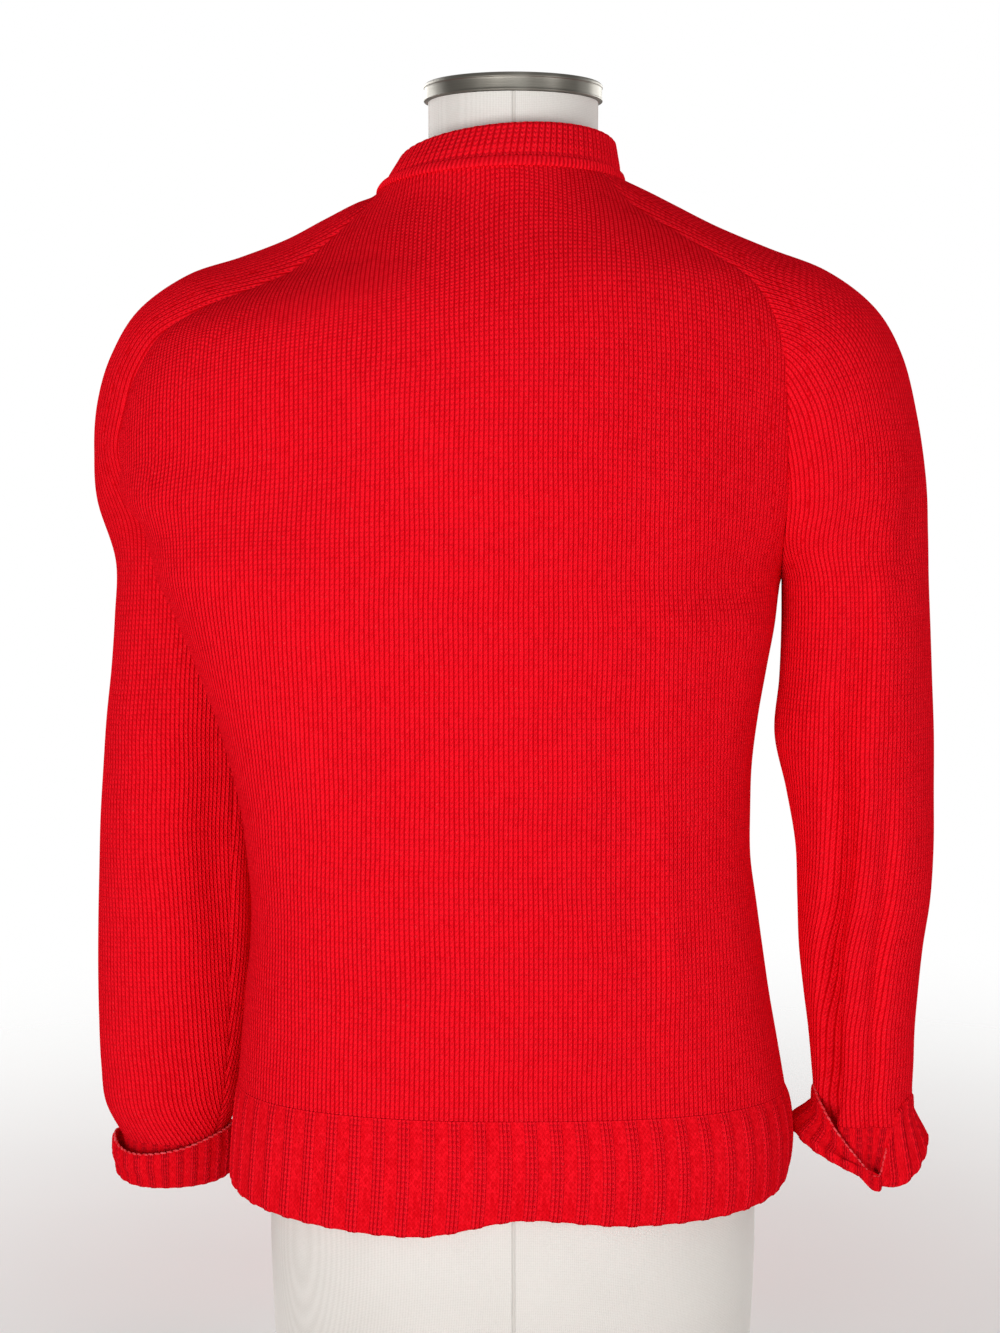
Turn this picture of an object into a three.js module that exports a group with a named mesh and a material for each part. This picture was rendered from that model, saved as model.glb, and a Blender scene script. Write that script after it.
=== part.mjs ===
// Saddle-shoulder crewneck sweater worn by a limbless dress form.
//
// Millimetres. +Z is up and the origin is the middle of the form's flat base. The garment's
// front faces -Y and its back faces +Y, so the wearer's left is +X. The sweater hangs a little
// twisted on the form: its left armhole is pulled forward and its right one backward.
//
// The knit pieces are walls between an outer grid of points and the same grid moved in along
// its normals. Rows of a grid run round the body or the arm, and columns run up the garment.

import * as THREE from "three";

// ---- Driving dimensions ---------------------------------------------------------------------

const WALL = 2.4; // plain knit
const RIB_RELIEF = 1.4; // how far a rib stands above the purl between two ribs
const SEAM_GAP = 0.3; // between linked pieces

// Garment and form spread towards their base: a width grows by this share for each millimetre
// under the level, and shrinks above it.
const SPREAD = 0.0000555;
const SPREAD_LEVEL = 568;

const PANEL_COLUMNS = 22;
const TURN_COLUMNS = 3; // of the back panel's, where it turns in under its widest place on the left
const SLEEVE_COLUMNS = 24;
const POINTS_PER_RIB = 4;

const HEM_RIBS = 32; // on each of the front and the back
const HEM_WALL = 2.8;
const HEM_TOP = 215;
const HEM_BOTTOM = 148;

const CUFF_RIBS = 26;
const CUFF_WALL = 2.6;
const CUFF_FOLD_SPACE = 2.6; // between the two layers of a turned-back cuff

const BAND_RIBS = 56;

const NECK_RADIUS = 57;
const NECK_TOP = 866;
const NECK_CENTRE_Y = -9;
const CAP_RADIUS = 59;
const CAP_HEIGHT = 12;
const CAP_COLUMNS = 40;

const degrees = THREE.MathUtils.degToRad;
const point = (x, y, z) => new THREE.Vector3(x, y, z);

// ---- Body sections, hem to underarm -----------------------------------------------------------
// left, leftY: the widest place on the wearer's left. seam, seamY: the left side seam, which the
// cloth reaches after turning in under that place. right: the right side seam.
// back, front: how far the section reaches behind and ahead of the origin.

const BODY = [
  { z: 148, left: 186, leftY: -4, seam: 184, seamY: -20, right: 181, back: 119, front: 112 },
  { z: 180, left: 185, leftY: -4, seam: 183, seamY: -20, right: 184, back: 117, front: 112 },
  { z: 215, left: 182, leftY: -4, seam: 180, seamY: -20, right: 179, back: 114, front: 111 },
  { z: 245, left: 180, leftY: -4, seam: 177, seamY: -21, right: 174, back: 112, front: 110 },
  { z: 275, left: 178, leftY: -4, seam: 174, seamY: -22, right: 169, back: 110, front: 109 },
  { z: 305, left: 175, leftY: -4, seam: 171, seamY: -23, right: 165, back: 107, front: 108 },
  { z: 337, left: 174, leftY: -3, seam: 170, seamY: -23, right: 161, back: 104, front: 107 },
  { z: 370, left: 177, leftY: -2, seam: 171, seamY: -23, right: 157, back: 101, front: 107 },
  { z: 400, left: 181, leftY: -1, seam: 173, seamY: -22, right: 157, back: 99, front: 107 },
  { z: 430, left: 188, leftY: 1, seam: 175, seamY: -19, right: 158, back: 99, front: 108 },
  { z: 462, left: 197, leftY: 4, seam: 177, seamY: -15, right: 162, back: 101, front: 110 },
  { z: 495, left: 209, leftY: 8, seam: 179, seamY: -11, right: 168, back: 104, front: 113 },
  { z: 527, left: 221, leftY: 13, seam: 181, seamY: -9, right: 174, back: 108, front: 116 },
];

// How the section's left end turns, which changes only near the underarm. hug: how closely the
// turned-in cloth follows the sleeve. corner: the round of the front's left end.
const BODY_TURN = [
  { z: 400, hug: 0, corner: 0.4 },
  { z: 430, hug: 0.05, corner: 0.4 },
  { z: 462, hug: 0.1, corner: 0.42 },
  { z: 495, hug: 0.25, corner: 0.5 },
  { z: 527, hug: 0.45, corner: 0.62 },
];
const RIGHT_SEAM_Y = 4;
const BODY_POWER = 2.5; // of the outline of a section: 2 is an ellipse, and more is squarer

// The hem is not level: its lower edge by angle round the body, 0 at +X and 90 at the back.
const HEM_EDGE = [
  { angle: 0, z: 148 },
  { angle: 60, z: 139 },
  { angle: 92, z: 151 },
  { angle: 125, z: 146 },
  { angle: 160, z: 151 },
  { angle: 180, z: 164 },
  { angle: 225, z: 152 },
  { angle: 270, z: 146 },
  { angle: 315, z: 143 },
];

// ---- Upper rows, neckline to underarm ---------------------------------------------------------
// Row by row: where the back seam (b), the crest (c) and the front seam (f) of each saddle strap
// and sleeve head lie. x is counted outward from the middle on both sides.

const LEFT_HEAD = [
  { b: [104, 26, 790], c: [104, -16, 801], f: [96, -62, 782] },
  { b: [122, 36, 773], c: [126, -12, 791], f: [116, -65, 770] },
  { b: [143, 45, 755], c: [152, -12, 778], f: [138, -67, 755] },
  { b: [168, 48, 743], c: [182, -14, 766], f: [158, -71, 742] },
  { b: [200, 46, 730], c: [214, -18, 754], f: [172, -78, 722] },
  { b: [230, 38, 712], c: [244, -26, 730], f: [178, -85, 696] },
  { b: [247, 28, 688], c: [260, -34, 700], f: [180, -87, 668] },
  { b: [257, 17, 662], c: [268, -42, 668], f: [180, -85, 640] },
  { b: [261, 6, 634], c: [270, -54, 634], f: [179, -78, 612] },
  { b: [246, -9, 603], c: [270, -62, 596], f: [177, -64, 586] },
];

const RIGHT_HEAD = [
  { b: [78, 50, 794], c: [92, 2, 806], f: [92, -46, 786] },
  { b: [100, 55, 780], c: [108, 2, 798], f: [108, -50, 776] },
  { b: [128, 59, 763], c: [136, 2, 784], f: [134, -55, 761] },
  { b: [152, 62, 747], c: [170, 2, 770], f: [158, -60, 746] },
  { b: [166, 66, 725], c: [208, 2, 756], f: [174, -65, 724] },
  { b: [173, 68, 698], c: [242, 0, 731], f: [181, -68, 694] },
  { b: [175, 67, 668], c: [260, 0, 700], f: [183, -66, 664] },
  { b: [176, 63, 638], c: [270, 0, 660], f: [183, -60, 634] },
  { b: [177, 55, 608], c: [275, 2, 620], f: [181, -49, 605] },
  { b: [176, 40, 580], c: [276, 4, 584], f: [179, -32, 577] },
];

// The same rows across the back and front panels. rise: how far the middle of a back row stands
// above its ends. drop: how far the middle of a front row hangs below them. The fullness of a row
// is (1 - |v|^power)^round, v running from -1 at its left end to 1 at its right end: a round of
// 0.4 turns the corner like an ellipse, and 1 meets the sleeve at a slope.
const YOKE = [
  { back: 79, rise: 6, leftEnd: 1, rightEnd: 1, front: 101, drop: 59, frontEnd: 1, power: 2.2 },
  { back: 88, rise: 5, leftEnd: 1, rightEnd: 1, front: 104, drop: 61, frontEnd: 1, power: 2.2 },
  { back: 99, rise: 4, leftEnd: 1, rightEnd: 1, front: 107, drop: 60, frontEnd: 1, power: 2.2 },
  { back: 107, rise: 3, leftEnd: 0.9, rightEnd: 1, front: 110, drop: 60, frontEnd: 1, power: 2.2 },
  { back: 113, rise: 2, leftEnd: 0.8, rightEnd: 1, front: 113, drop: 55, frontEnd: 1, power: 2.2 },
  { back: 117, rise: 0, leftEnd: 0.65, rightEnd: 1, front: 117, drop: 45, frontEnd: 1, power: 2.2 },
  { back: 119, rise: 0, leftEnd: 0.55, rightEnd: 1, front: 120, drop: 34, frontEnd: 1, power: 2.25 },
  { back: 119, rise: 0, leftEnd: 0.5, rightEnd: 1, front: 121, drop: 24, frontEnd: 1, power: 2.3 },
  { back: 117, rise: 0, leftEnd: 0.45, rightEnd: 0.95, front: 121, drop: 14, frontEnd: 0.85, power: 2.4 },
  { back: 114, rise: 0, leftEnd: 0.45, rightEnd: 0.82, front: 120, drop: 6, frontEnd: 0.7, power: 2.45 },
  { back: 111, rise: 0, leftEnd: 0.42, rightEnd: 0.56, front: 118, drop: 0, frontEnd: 0.5, power: 2.5 },
];

// The two lowest of these rows turn in on the left like the body sections below them. Their
// widest place, hug and corner, by row.
const LEFT_TURN = {
  10: { x: 257, y: 12, hug: 0.75, corner: 0.7 },
  11: { x: 236, y: 15, hug: 0.75, corner: 0.85 },
};

// ---- Sleeve tubes, underarm to cuff -----------------------------------------------------------
// inner, outer: the two sides of the section, counted outward. y: its middle. depth: half its
// size from front to back.

const LEFT_TUBE = [
  { z: 560, inner: 175, outer: 272, y: -50, depth: 42 },
  { z: 525, inner: 178, outer: 273, y: -51, depth: 43 },
  { z: 490, inner: 179, outer: 275, y: -51, depth: 43 },
  { z: 455, inner: 179, outer: 278, y: -50, depth: 42 },
  { z: 420, inner: 179, outer: 280, y: -49, depth: 40 },
  { z: 385, inner: 179, outer: 282, y: -48, depth: 39 },
  { z: 350, inner: 179, outer: 283, y: -46, depth: 37 },
  { z: 315, inner: 179, outer: 284, y: -45, depth: 35 },
  { z: 280, inner: 180, outer: 284, y: -43, depth: 34 },
  { z: 245, inner: 182, outer: 283, y: -42, depth: 33 },
  { z: 213, inner: 185, outer: 281, y: -41, depth: 32 },
  { z: 186, inner: 189, outer: 277, y: -40, depth: 31 },
  { z: 164, inner: 196, outer: 265, y: -40, depth: 30 },
];

const RIGHT_TUBE = [
  { z: 552, inner: 178, outer: 276, y: 5, depth: 54 },
  { z: 520, inner: 178, outer: 277, y: 5, depth: 54 },
  { z: 486, inner: 177, outer: 278, y: 5, depth: 52 },
  { z: 450, inner: 174, outer: 279, y: 6, depth: 50 },
  { z: 412, inner: 182, outer: 279, y: 6, depth: 48 },
  { z: 375, inner: 188, outer: 279, y: 6, depth: 45 },
  { z: 340, inner: 189, outer: 277, y: 6, depth: 42 },
  { z: 305, inner: 190, outer: 272, y: 6, depth: 39 },
  { z: 275, inner: 193, outer: 269, y: 6, depth: 37 },
  { z: 250, inner: 196, outer: 267, y: 6, depth: 35 },
  { z: 226, inner: 198, outer: 266, y: 7, depth: 34 },
  { z: 206, inner: 199, outer: 265, y: 8, depth: 33 },
  { z: 190, inner: 197, outer: 266, y: 9, depth: 33 },
];

const HEAD_ROWS = LEFT_HEAD.length + 1; // with the neckline row
const LEFT_START = 146; // angle of the underarm line round the sleeve's section
const RIGHT_START = 180;

// Long soft folds pressed into the sleeves. angle: round the section, 0 outward, 90 at the back.
const LEFT_FOLDS = [
  { top: 470, bottom: 235, angleTop: 118, angleBottom: 140, depth: 6, width: 15 },
  { top: 560, bottom: 440, angleTop: 62, angleBottom: 76, depth: 3.5, width: 16 },
  { top: 430, bottom: 180, angleTop: 265, angleBottom: 250, depth: 5, width: 16 },
];
const RIGHT_FOLDS = [
  { top: 380, bottom: 185, angleTop: 112, angleBottom: 122, depth: 6.5, width: 11 },
  { top: 330, bottom: 195, angleTop: 72, angleBottom: 66, depth: 4.5, width: 11 },
  { top: 640, bottom: 500, angleTop: 122, angleBottom: 108, depth: 4, width: 14 },
  { top: 655, bottom: 520, angleTop: 48, angleBottom: 62, depth: 3.5, width: 14 },
  { top: 420, bottom: 190, angleTop: 262, angleBottom: 280, depth: 5, width: 13 },
];

// The two turned-back cuffs. foldZ: height of the folded edge on average. tiltX, tiltY: how much
// it rises per millimetre outward and backward. Height: of the turned-back layer. flare: how far
// the layers lean outward. inner, outer, y, depth: the section at the fold, as on a tube.
const LEFT_CUFF = {
  foldZ: 135, tiltX: 0.02, tiltY: 0.06, height: 29, flare: 2.5, inner: 197, outer: 264, y: -40, depth: 30,
};
const RIGHT_CUFF = {
  foldZ: 163, tiltX: -0.1, tiltY: -0.25, height: 30, flare: 6, inner: 201, outer: 261, y: 10, depth: 33,
};

// The profile of a turned-back cuff. share: 0 at the fold's section, 1 at the sleeve's end. out:
// from that section. up: above the fold. flare, height: whether the cuff's own are added.
const CUFF_OUTSIDE = CUFF_WALL + CUFF_FOLD_SPACE;
const CUFF_PROFILE = [
  { share: 1, out: -CUFF_WALL, up: 0, flare: 0, height: 0, ribbed: false },
  { share: 0, out: -CUFF_WALL, up: 4, flare: 0, height: 0, ribbed: false },
  { share: 0, out: 0.5, up: 0, flare: 0, height: 0, ribbed: false },
  { share: 0, out: CUFF_OUTSIDE - 1, up: 0.6, flare: 0, height: 0, ribbed: true },
  { share: 0, out: CUFF_OUTSIDE + 1, up: 5, flare: 0, height: 0, ribbed: true },
  { share: 0, out: CUFF_OUTSIDE, up: 0, flare: 1, height: 1, ribbed: true },
  { share: 0, out: CUFF_FOLD_SPACE, up: 0, flare: 1, height: 1, ribbed: false },
  { share: 0, out: CUFF_FOLD_SPACE, up: 6, flare: 0, height: 0, ribbed: false },
  { share: 0, out: 0, up: 6, flare: 0, height: 0, ribbed: false },
  { share: 1, out: 0, up: 0, flare: 0, height: 0, ribbed: false },
];

// ---- Neckline ---------------------------------------------------------------------------------
// Angles round the neck are counted from +X towards the back. The seams of the two straps meet the
// neckline at these angles. side: height at the two sides, on average. tilt: how much lower the
// loop lies per millimetre towards the wearer's left.

const STRAP = { leftFront: -38, leftBack: 12, rightBack: 142, rightFront: 192 };
const NECK_SEAM = {
  x: 8, y: -13, halfWidth: 81, halfDepth: 85, side: 811, backRise: 8, frontDrop: 72, tilt: 0.06,
};
const NECK_EDGE = {
  x: 3, y: -13, halfWidth: 72, halfDepth: 75, side: 835, backRise: 11, frontDrop: 66, tilt: 0.1,
};
const NECK_TWIST = 13; // the lowest place of the neckline is turned by this angle
const NECK_SCOOP = 1.7; // how sharply the neckline drops to its lowest place

// The profile of the neckband. up: from the neckline seam, or down from the band's top edge where
// it is negative. out: from the loop. The first two rows are the linking ridge.
const BAND_PROFILE = [
  { up: 0.8, out: 1.8, ribbed: false },
  { up: 5, out: 1.8, ribbed: false },
  { up: 6.5, out: 0, ribbed: true },
  { up: -4, out: 0, ribbed: true },
  { up: -0.6, out: -1.4, ribbed: true },
  { up: -0.6, out: -3.6, ribbed: false },
  { up: -5, out: -4.8, ribbed: false },
  { up: 2.8, out: -4.8, ribbed: false },
  { up: 0.8, out: -3.8, ribbed: false },
];

// ---- Dress form -------------------------------------------------------------------------------
// Sections of the form: half its width, its reach behind and ahead, and the power of the outline.

const FORM = [
  { z: 0, width: 150, back: 98, front: 94, power: 2.3 },
  { z: 6, width: 154, back: 101, front: 97, power: 2.3 },
  { z: 60, width: 158, back: 107, front: 101, power: 2.3 },
  { z: 120, width: 160, back: 110, front: 103, power: 2.3 },
  { z: 190, width: 158, back: 108, front: 102, power: 2.3 },
  { z: 260, width: 149, back: 99, front: 99, power: 2.3 },
  { z: 320, width: 140, back: 91, front: 96, power: 2.3 },
  { z: 380, width: 138, back: 88, front: 96, power: 2.3 },
  { z: 450, width: 146, back: 92, front: 100, power: 2.35 },
  { z: 520, width: 153, back: 97, front: 103, power: 2.4 },
  { z: 590, width: 160, back: 103, front: 107, power: 2.4 },
  { z: 640, width: 165, back: 106, front: 107, power: 2.35 },
  { z: 680, width: 169, back: 107, front: 102, power: 2.1 },
  { z: 715, width: 172, back: 104, front: 92, power: 1.9 },
  { z: 738, width: 172, back: 98, front: 84, power: 1.6 },
  { z: 753, width: 171, back: 93, front: 77, power: 1.45 },
  { z: 765, width: 164, back: 87.5, front: 73, power: 1.32 },
  { z: 777, width: 142.5, back: 80, front: 70, power: 1.2 },
  { z: 788, width: 116, back: 73, front: 68, power: 1.12 },
  { z: 797, width: 95, back: 65, front: 67, power: 1.15 },
  { z: 805, width: 75, back: 56, front: 66.5, power: 1.35 },
  { z: 812, width: 63, back: 51, front: 66.2, power: 1.65 },
  { z: 821, width: 58, back: 48.5, front: 66, power: 2.0 },
  { z: 832, width: NECK_RADIUS, back: 48, front: 66, power: 2.0 },
  { z: NECK_TOP, width: NECK_RADIUS, back: 48, front: 66, power: 2.0 },
];
const FORM_COLUMNS = 32;

// ---- Interpolation and rows -------------------------------------------------------------------

// A smooth curve through a table: cubic pieces whose slopes come from the neighbouring rows.
function smooth(table, key, column, at) {
  const rows = table[0][key] <= table[table.length - 1][key] ? table : [...table].reverse();
  const last = rows.length - 1;
  const u = THREE.MathUtils.clamp(at, rows[0][key], rows[last][key]);
  let i = 0;
  while (i < last - 1 && u > rows[i + 1][key]) {
    i += 1;
  }
  const slope = (n) => {
    const low = rows[Math.max(n - 1, 0)];
    const high = rows[Math.min(n + 1, last)];
    return (high[column] - low[column]) / (high[key] - low[key]);
  };
  const span = rows[i + 1][key] - rows[i][key];
  const t = (u - rows[i][key]) / span;
  const rise = rows[i + 1][column] - rows[i][column];
  const bend = (1 - t) * (slope(i) * span - rise) - t * (slope(i + 1) * span - rise);
  return rows[i][column] + rise * t + t * (1 - t) * bend;
}

// The same, for a table that closes on itself over 360 degrees.
function smoothRound(table, column, angle) {
  const before = table.map((row) => ({ ...row, angle: row.angle - 360 }));
  const after = table.map((row) => ({ ...row, angle: row.angle + 360 }));
  const turned = ((angle % 360) + 360) % 360;
  return smooth([...before, ...table, ...after], "angle", column, turned);
}

// Spreads a number of points evenly along a line of points.
function spread(line, count) {
  const lengths = [0];
  for (let i = 1; i < line.length; i += 1) {
    lengths.push(lengths[i - 1] + line[i].distanceTo(line[i - 1]));
  }
  const total = lengths[lengths.length - 1];
  const result = [];
  let i = 0;
  for (let n = 0; n < count; n += 1) {
    const wanted = (total * n) / (count - 1);
    while (i < line.length - 2 && lengths[i + 1] < wanted) {
      i += 1;
    }
    const t = (wanted - lengths[i]) / (lengths[i + 1] - lengths[i]);
    result.push(line[i].clone().lerp(line[i + 1], THREE.MathUtils.clamp(t, 0, 1)));
  }
  return result;
}

const FINE = 160; // points on a row before they are spread

// A row across a panel, from its left end to its right end. The row swells to y = `reach` in the
// middle and stands `lift` above the line of its ends.
function fullRow({ left, right, reach, lift, power, leftEnd, rightEnd }) {
  const line = [];
  for (let n = 0; n <= FINE; n += 1) {
    const v = -Math.cos((Math.PI * n) / FINE);
    const flat = Math.max(1 - Math.pow(Math.abs(v), power), 0);
    const fullness = Math.pow(flat, v < 0 ? leftEnd : rightEnd);
    const place = left.clone().lerp(right, (v + 1) / 2);
    place.y += (reach - (left.y + right.y) / 2) * fullness;
    place.z += lift * (1 - v * v);
    line.push(place);
  }
  return line;
}

// The cloth that turns in under the widest place on the left: a quarter ellipse from the seam,
// which bends the other way, round the sleeve, as hug goes to 1.
function tuckedEdge(seam, wide, hug) {
  const line = [];
  const steps = FINE / 4;
  for (let n = 0; n < steps; n += 1) {
    const a = (Math.PI / 2) * (n / steps);
    const outward = THREE.MathUtils.lerp(Math.sin(a), 1 - Math.cos(a), hug);
    const backward = THREE.MathUtils.lerp(1 - Math.cos(a), Math.sin(a), hug);
    const x = seam.x + (wide.x - seam.x) * outward;
    const y = seam.y + (wide.y - seam.y) * backward;
    line.push(point(x, y, seam.z + (wide.z - seam.z) * (n / steps)));
  }
  return line;
}

function bodySection(z) {
  const at = (column) => smooth(BODY, "z", column, z);
  return {
    seam: point(at("seam"), at("seamY"), z),
    wide: point(at("left"), at("leftY"), z),
    right: point(-at("right"), RIGHT_SEAM_Y, z),
    back: at("back"),
    front: at("front"),
    hug: smooth(BODY_TURN, "z", "hug", z),
    corner: smooth(BODY_TURN, "z", "corner", z),
  };
}

const BODY_SHAPE = { lift: 0, power: BODY_POWER, leftEnd: 1 / BODY_POWER, rightEnd: 1 / BODY_POWER };

// The two parts of a back row of the body: the turned-in cloth and the rest.
function bodyBackParts(z) {
  const s = bodySection(z);
  return {
    turned: tuckedEdge(s.seam, s.wide, s.hug),
    main: fullRow({ ...BODY_SHAPE, left: s.wide, right: s.right, reach: s.back }),
  };
}

function bodyBackRow(z) {
  const { turned, main } = bodyBackParts(z);
  return [...turned, ...main];
}

function bodyFrontRow(z) {
  const s = bodySection(z);
  return fullRow({ ...BODY_SHAPE, left: s.seam, right: s.right, reach: -s.front, leftEnd: s.corner });
}

// ---- Neckline loops ---------------------------------------------------------------------------

function neckPoint(loop, angle) {
  const a = degrees(angle);
  const x = loop.x + loop.halfWidth * Math.cos(a);
  const y = loop.y + loop.halfDepth * Math.sin(a);
  const toBack = Math.sin(degrees(angle + NECK_TWIST));
  const height = toBack > 0 ? loop.backRise * toBack : -loop.frontDrop * Math.pow(-toBack, NECK_SCOOP);
  return point(x, y, loop.side + height - loop.tilt * x);
}

function neckRow(fromAngle, toAngle) {
  const line = [];
  for (let n = 0; n <= FINE; n += 1) {
    line.push(neckPoint(NECK_SEAM, fromAngle + ((toAngle - fromAngle) * n) / FINE));
  }
  return line;
}

// ---- Sleeves ----------------------------------------------------------------------------------

// How deep the folds press in at a height and an angle of the sleeve's section.
function foldDepth(folds, z, angle, radius) {
  let depth = 0;
  for (const fold of folds) {
    const along = (fold.top - z) / (fold.top - fold.bottom);
    if (along > 0 && along < 1) {
      const middle = fold.angleTop + (fold.angleBottom - fold.angleTop) * along;
      const away = ((angle - middle + 540) % 360) - 180;
      const distance = (degrees(away) * radius) / fold.width;
      depth += fold.depth * Math.exp(-distance * distance) * Math.sin(Math.PI * along);
    }
  }
  return depth;
}

// One closed ring of a sleeve, starting and ending on the underarm line.
function tubeRing(tube, folds, z, mirror, start) {
  const at = (column) => smooth(tube, "z", column, z);
  const middle = (at("outer") + at("inner")) / 2;
  const width = (at("outer") - at("inner")) / 2;
  const ring = [];
  for (let n = 0; n <= SLEEVE_COLUMNS; n += 1) {
    const angle = start - (360 * n) / SLEEVE_COLUMNS;
    const a = degrees(angle);
    const pressed = 1 - foldDepth(folds, z, angle, width) / width;
    const x = middle + width * pressed * Math.cos(a);
    const y = at("y") + at("depth") * pressed * Math.sin(a);
    ring.push(point(mirror * x, y, z));
  }
  return ring;
}

// An open row of the sleeve head: the arc of a circle through back seam, crest and front seam.
function headRow(row, mirror) {
  const place = (p) => point(mirror * p[0], p[1], p[2]);
  const back = place(row.b);
  const front = place(row.f);
  const middle = back.clone().add(front).multiplyScalar(0.5);
  const out = place(row.c).sub(middle);
  const along = front.clone().sub(middle);
  const wrap = 2 * Math.atan2(out.length(), along.length());
  const line = [];
  for (let n = 0; n <= SLEEVE_COLUMNS; n += 1) {
    const a = wrap * (-1 + (2 * n) / SLEEVE_COLUMNS);
    const outShare = (Math.cos(a) - Math.cos(wrap)) / (1 - Math.cos(wrap));
    const alongShare = Math.sin(a) / Math.sin(wrap);
    line.push(middle.clone().addScaledVector(out, outShare).addScaledVector(along, alongShare));
  }
  return line;
}

// The whole outer grid of a sleeve, from the neckline to the cuff.
function sleeveGrid(head, tube, folds, mirror, neck, start) {
  const grid = [spread(neck, SLEEVE_COLUMNS + 1)];
  for (const row of head) {
    grid.push(headRow(row, mirror));
  }
  for (const row of tube) {
    grid.push(tubeRing(tube, folds, row.z, mirror, start));
  }
  return grid;
}

// ---- Panels -----------------------------------------------------------------------------------

// Heights of the panels' rows between the hem rib and the underarm.
const BODY_ROWS = BODY.filter((row) => row.z >= HEM_TOP).map((row) => row.z);

// A back row with a fixed number of columns on its turned-in cloth.
function turnedRow({ turned, main }) {
  const turn = spread([...turned, main[0]], TURN_COLUMNS + 1);
  return [...turn.slice(0, -1), ...spread(main, PANEL_COLUMNS + 1 - TURN_COLUMNS)];
}

function backPanelGrid(left, right) {
  const rows = [spread(neckRow(STRAP.leftBack, STRAP.rightBack), PANEL_COLUMNS + 1)];
  YOKE.forEach((yoke, n) => {
    const seam = left[n + 1][0];
    const turn = LEFT_TURN[n + 1];
    const wide = turn ? point(turn.x, turn.y, seam.z) : seam;
    const main = fullRow({ ...yoke, left: wide, right: right[n + 1][0], reach: yoke.back, lift: yoke.rise });
    const turned = turn ? tuckedEdge(seam, wide, turn.hug) : [];
    const isUnderarm = n + 1 === HEAD_ROWS;
    rows.push(isUnderarm ? turnedRow({ turned, main }) : spread([...turned, ...main], PANEL_COLUMNS + 1));
  });
  for (const z of [...BODY_ROWS].reverse()) {
    rows.push(turnedRow(bodyBackParts(z)));
  }
  return rows;
}

function frontPanelGrid(left, right) {
  const last = SLEEVE_COLUMNS;
  const rows = [spread(neckRow(STRAP.leftFront, STRAP.rightFront - 360), PANEL_COLUMNS + 1)];
  YOKE.forEach((yoke, n) => {
    const turn = LEFT_TURN[n + 1];
    const line = fullRow({
      left: left[n + 1][last],
      right: right[n + 1][last],
      reach: -yoke.front,
      lift: -yoke.drop,
      power: yoke.power,
      leftEnd: turn ? turn.corner : yoke.frontEnd,
      rightEnd: yoke.frontEnd,
    });
    rows.push(spread(line, PANEL_COLUMNS + 1));
  });
  for (const z of [...BODY_ROWS].reverse()) {
    rows.push(spread(bodyFrontRow(z), PANEL_COLUMNS + 1));
  }
  return rows;
}

// ---- Walls ------------------------------------------------------------------------------------

// Points that the normals of a row point away from: the middle of an open row's ends or of a
// whole ring on a sleeve, and the body's axis on a panel.
const rowMiddle = (row) => row[0].clone().add(row[row.length - 1]).multiplyScalar(0.5);
const ringMiddle = (row) => (
  row.reduce((sum, p) => sum.add(p), point(0, 0, 0)).divideScalar(row.length)
);
const sleeveInside = (row) => (
  row[0].distanceTo(row[row.length - 1]) < 1 ? ringMiddle(row) : rowMiddle(row)
);
const panelInside = (row) => point(0, 0, row[0].z);

// Unit normals of a grid. closedFrom: the first row whose two ends meet, or the row count.
// inside: a function giving a point that each row's normals point away from.
function gridNormals(grid, closedFrom, inside) {
  const rows = grid.length;
  const columns = grid[0].length;
  let facing = 0;
  const normals = grid.map((row, i) => row.map((p, j) => {
    const closed = i >= closedFrom;
    const before = closed && j === 0 ? row[columns - 2] : row[Math.max(j - 1, 0)];
    const after = closed && j === columns - 1 ? row[1] : row[Math.min(j + 1, columns - 1)];
    const above = grid[Math.max(i - 1, 0)][j];
    const below = grid[Math.min(i + 1, rows - 1)][j];
    const normal = after.clone().sub(before).cross(below.clone().sub(above)).normalize();
    facing += Math.sign(normal.dot(p.clone().sub(inside(row))));
    return normal;
  }));
  if (facing < 0) {
    normals.forEach((row) => row.forEach((normal) => normal.negate()));
  }
  return normals;
}

const VALLEY_LEAN = 0.6;
const UNDERARM_LEAN = point(0, 0, -8);

// Gives the edge points that pieces share at a seam one common normal. In a valley, where the
// pieces turn back on each other, it leans into the open side of the valley. Each end names a
// grid, its normals, a row, and the columns of the edge point and of its neighbour in the cloth.
// lean: what is added where a valley ends.
function shareNormals(ends, lean = point(0, 0, 0)) {
  const common = lean.clone();
  for (const { grid, normals, row, edge, next } of ends) {
    const intoCloth = grid[row][next].clone().sub(grid[row][edge]).normalize();
    common.add(normals[row][edge]).addScaledVector(intoCloth, VALLEY_LEAN);
  }
  common.normalize();
  ends.forEach(({ normals, row, edge }) => normals[row][edge].copy(common));
}

// Draws an edge point back from the seam by half the gap, towards its neighbour in the cloth.
function drawBack(pointAtSeam, neighbour, distance = SEAM_GAP / 2) {
  const inward = neighbour.clone().sub(pointAtSeam).normalize();
  return pointAtSeam.clone().addScaledVector(inward, distance);
}

// Opens the gap at both ends of a grid's first rows.
function openSeams(grid, openRows) {
  for (let i = 0; i < openRows; i += 1) {
    const row = grid[i];
    const end = row.length - 1;
    row[0] = drawBack(row[0], row[1]);
    row[end] = drawBack(row[end], row[end - 1]);
  }
}

// Draws the closed underarm point of a sleeve away from the corner of the two panels.
function openUnderarm(grid) {
  const corner = grid[HEAD_ROWS];
  corner[0] = drawBack(corner[0], ringMiddle(corner), 2 * SEAM_GAP);
  corner[corner.length - 1] = corner[0].clone();
}

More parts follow.
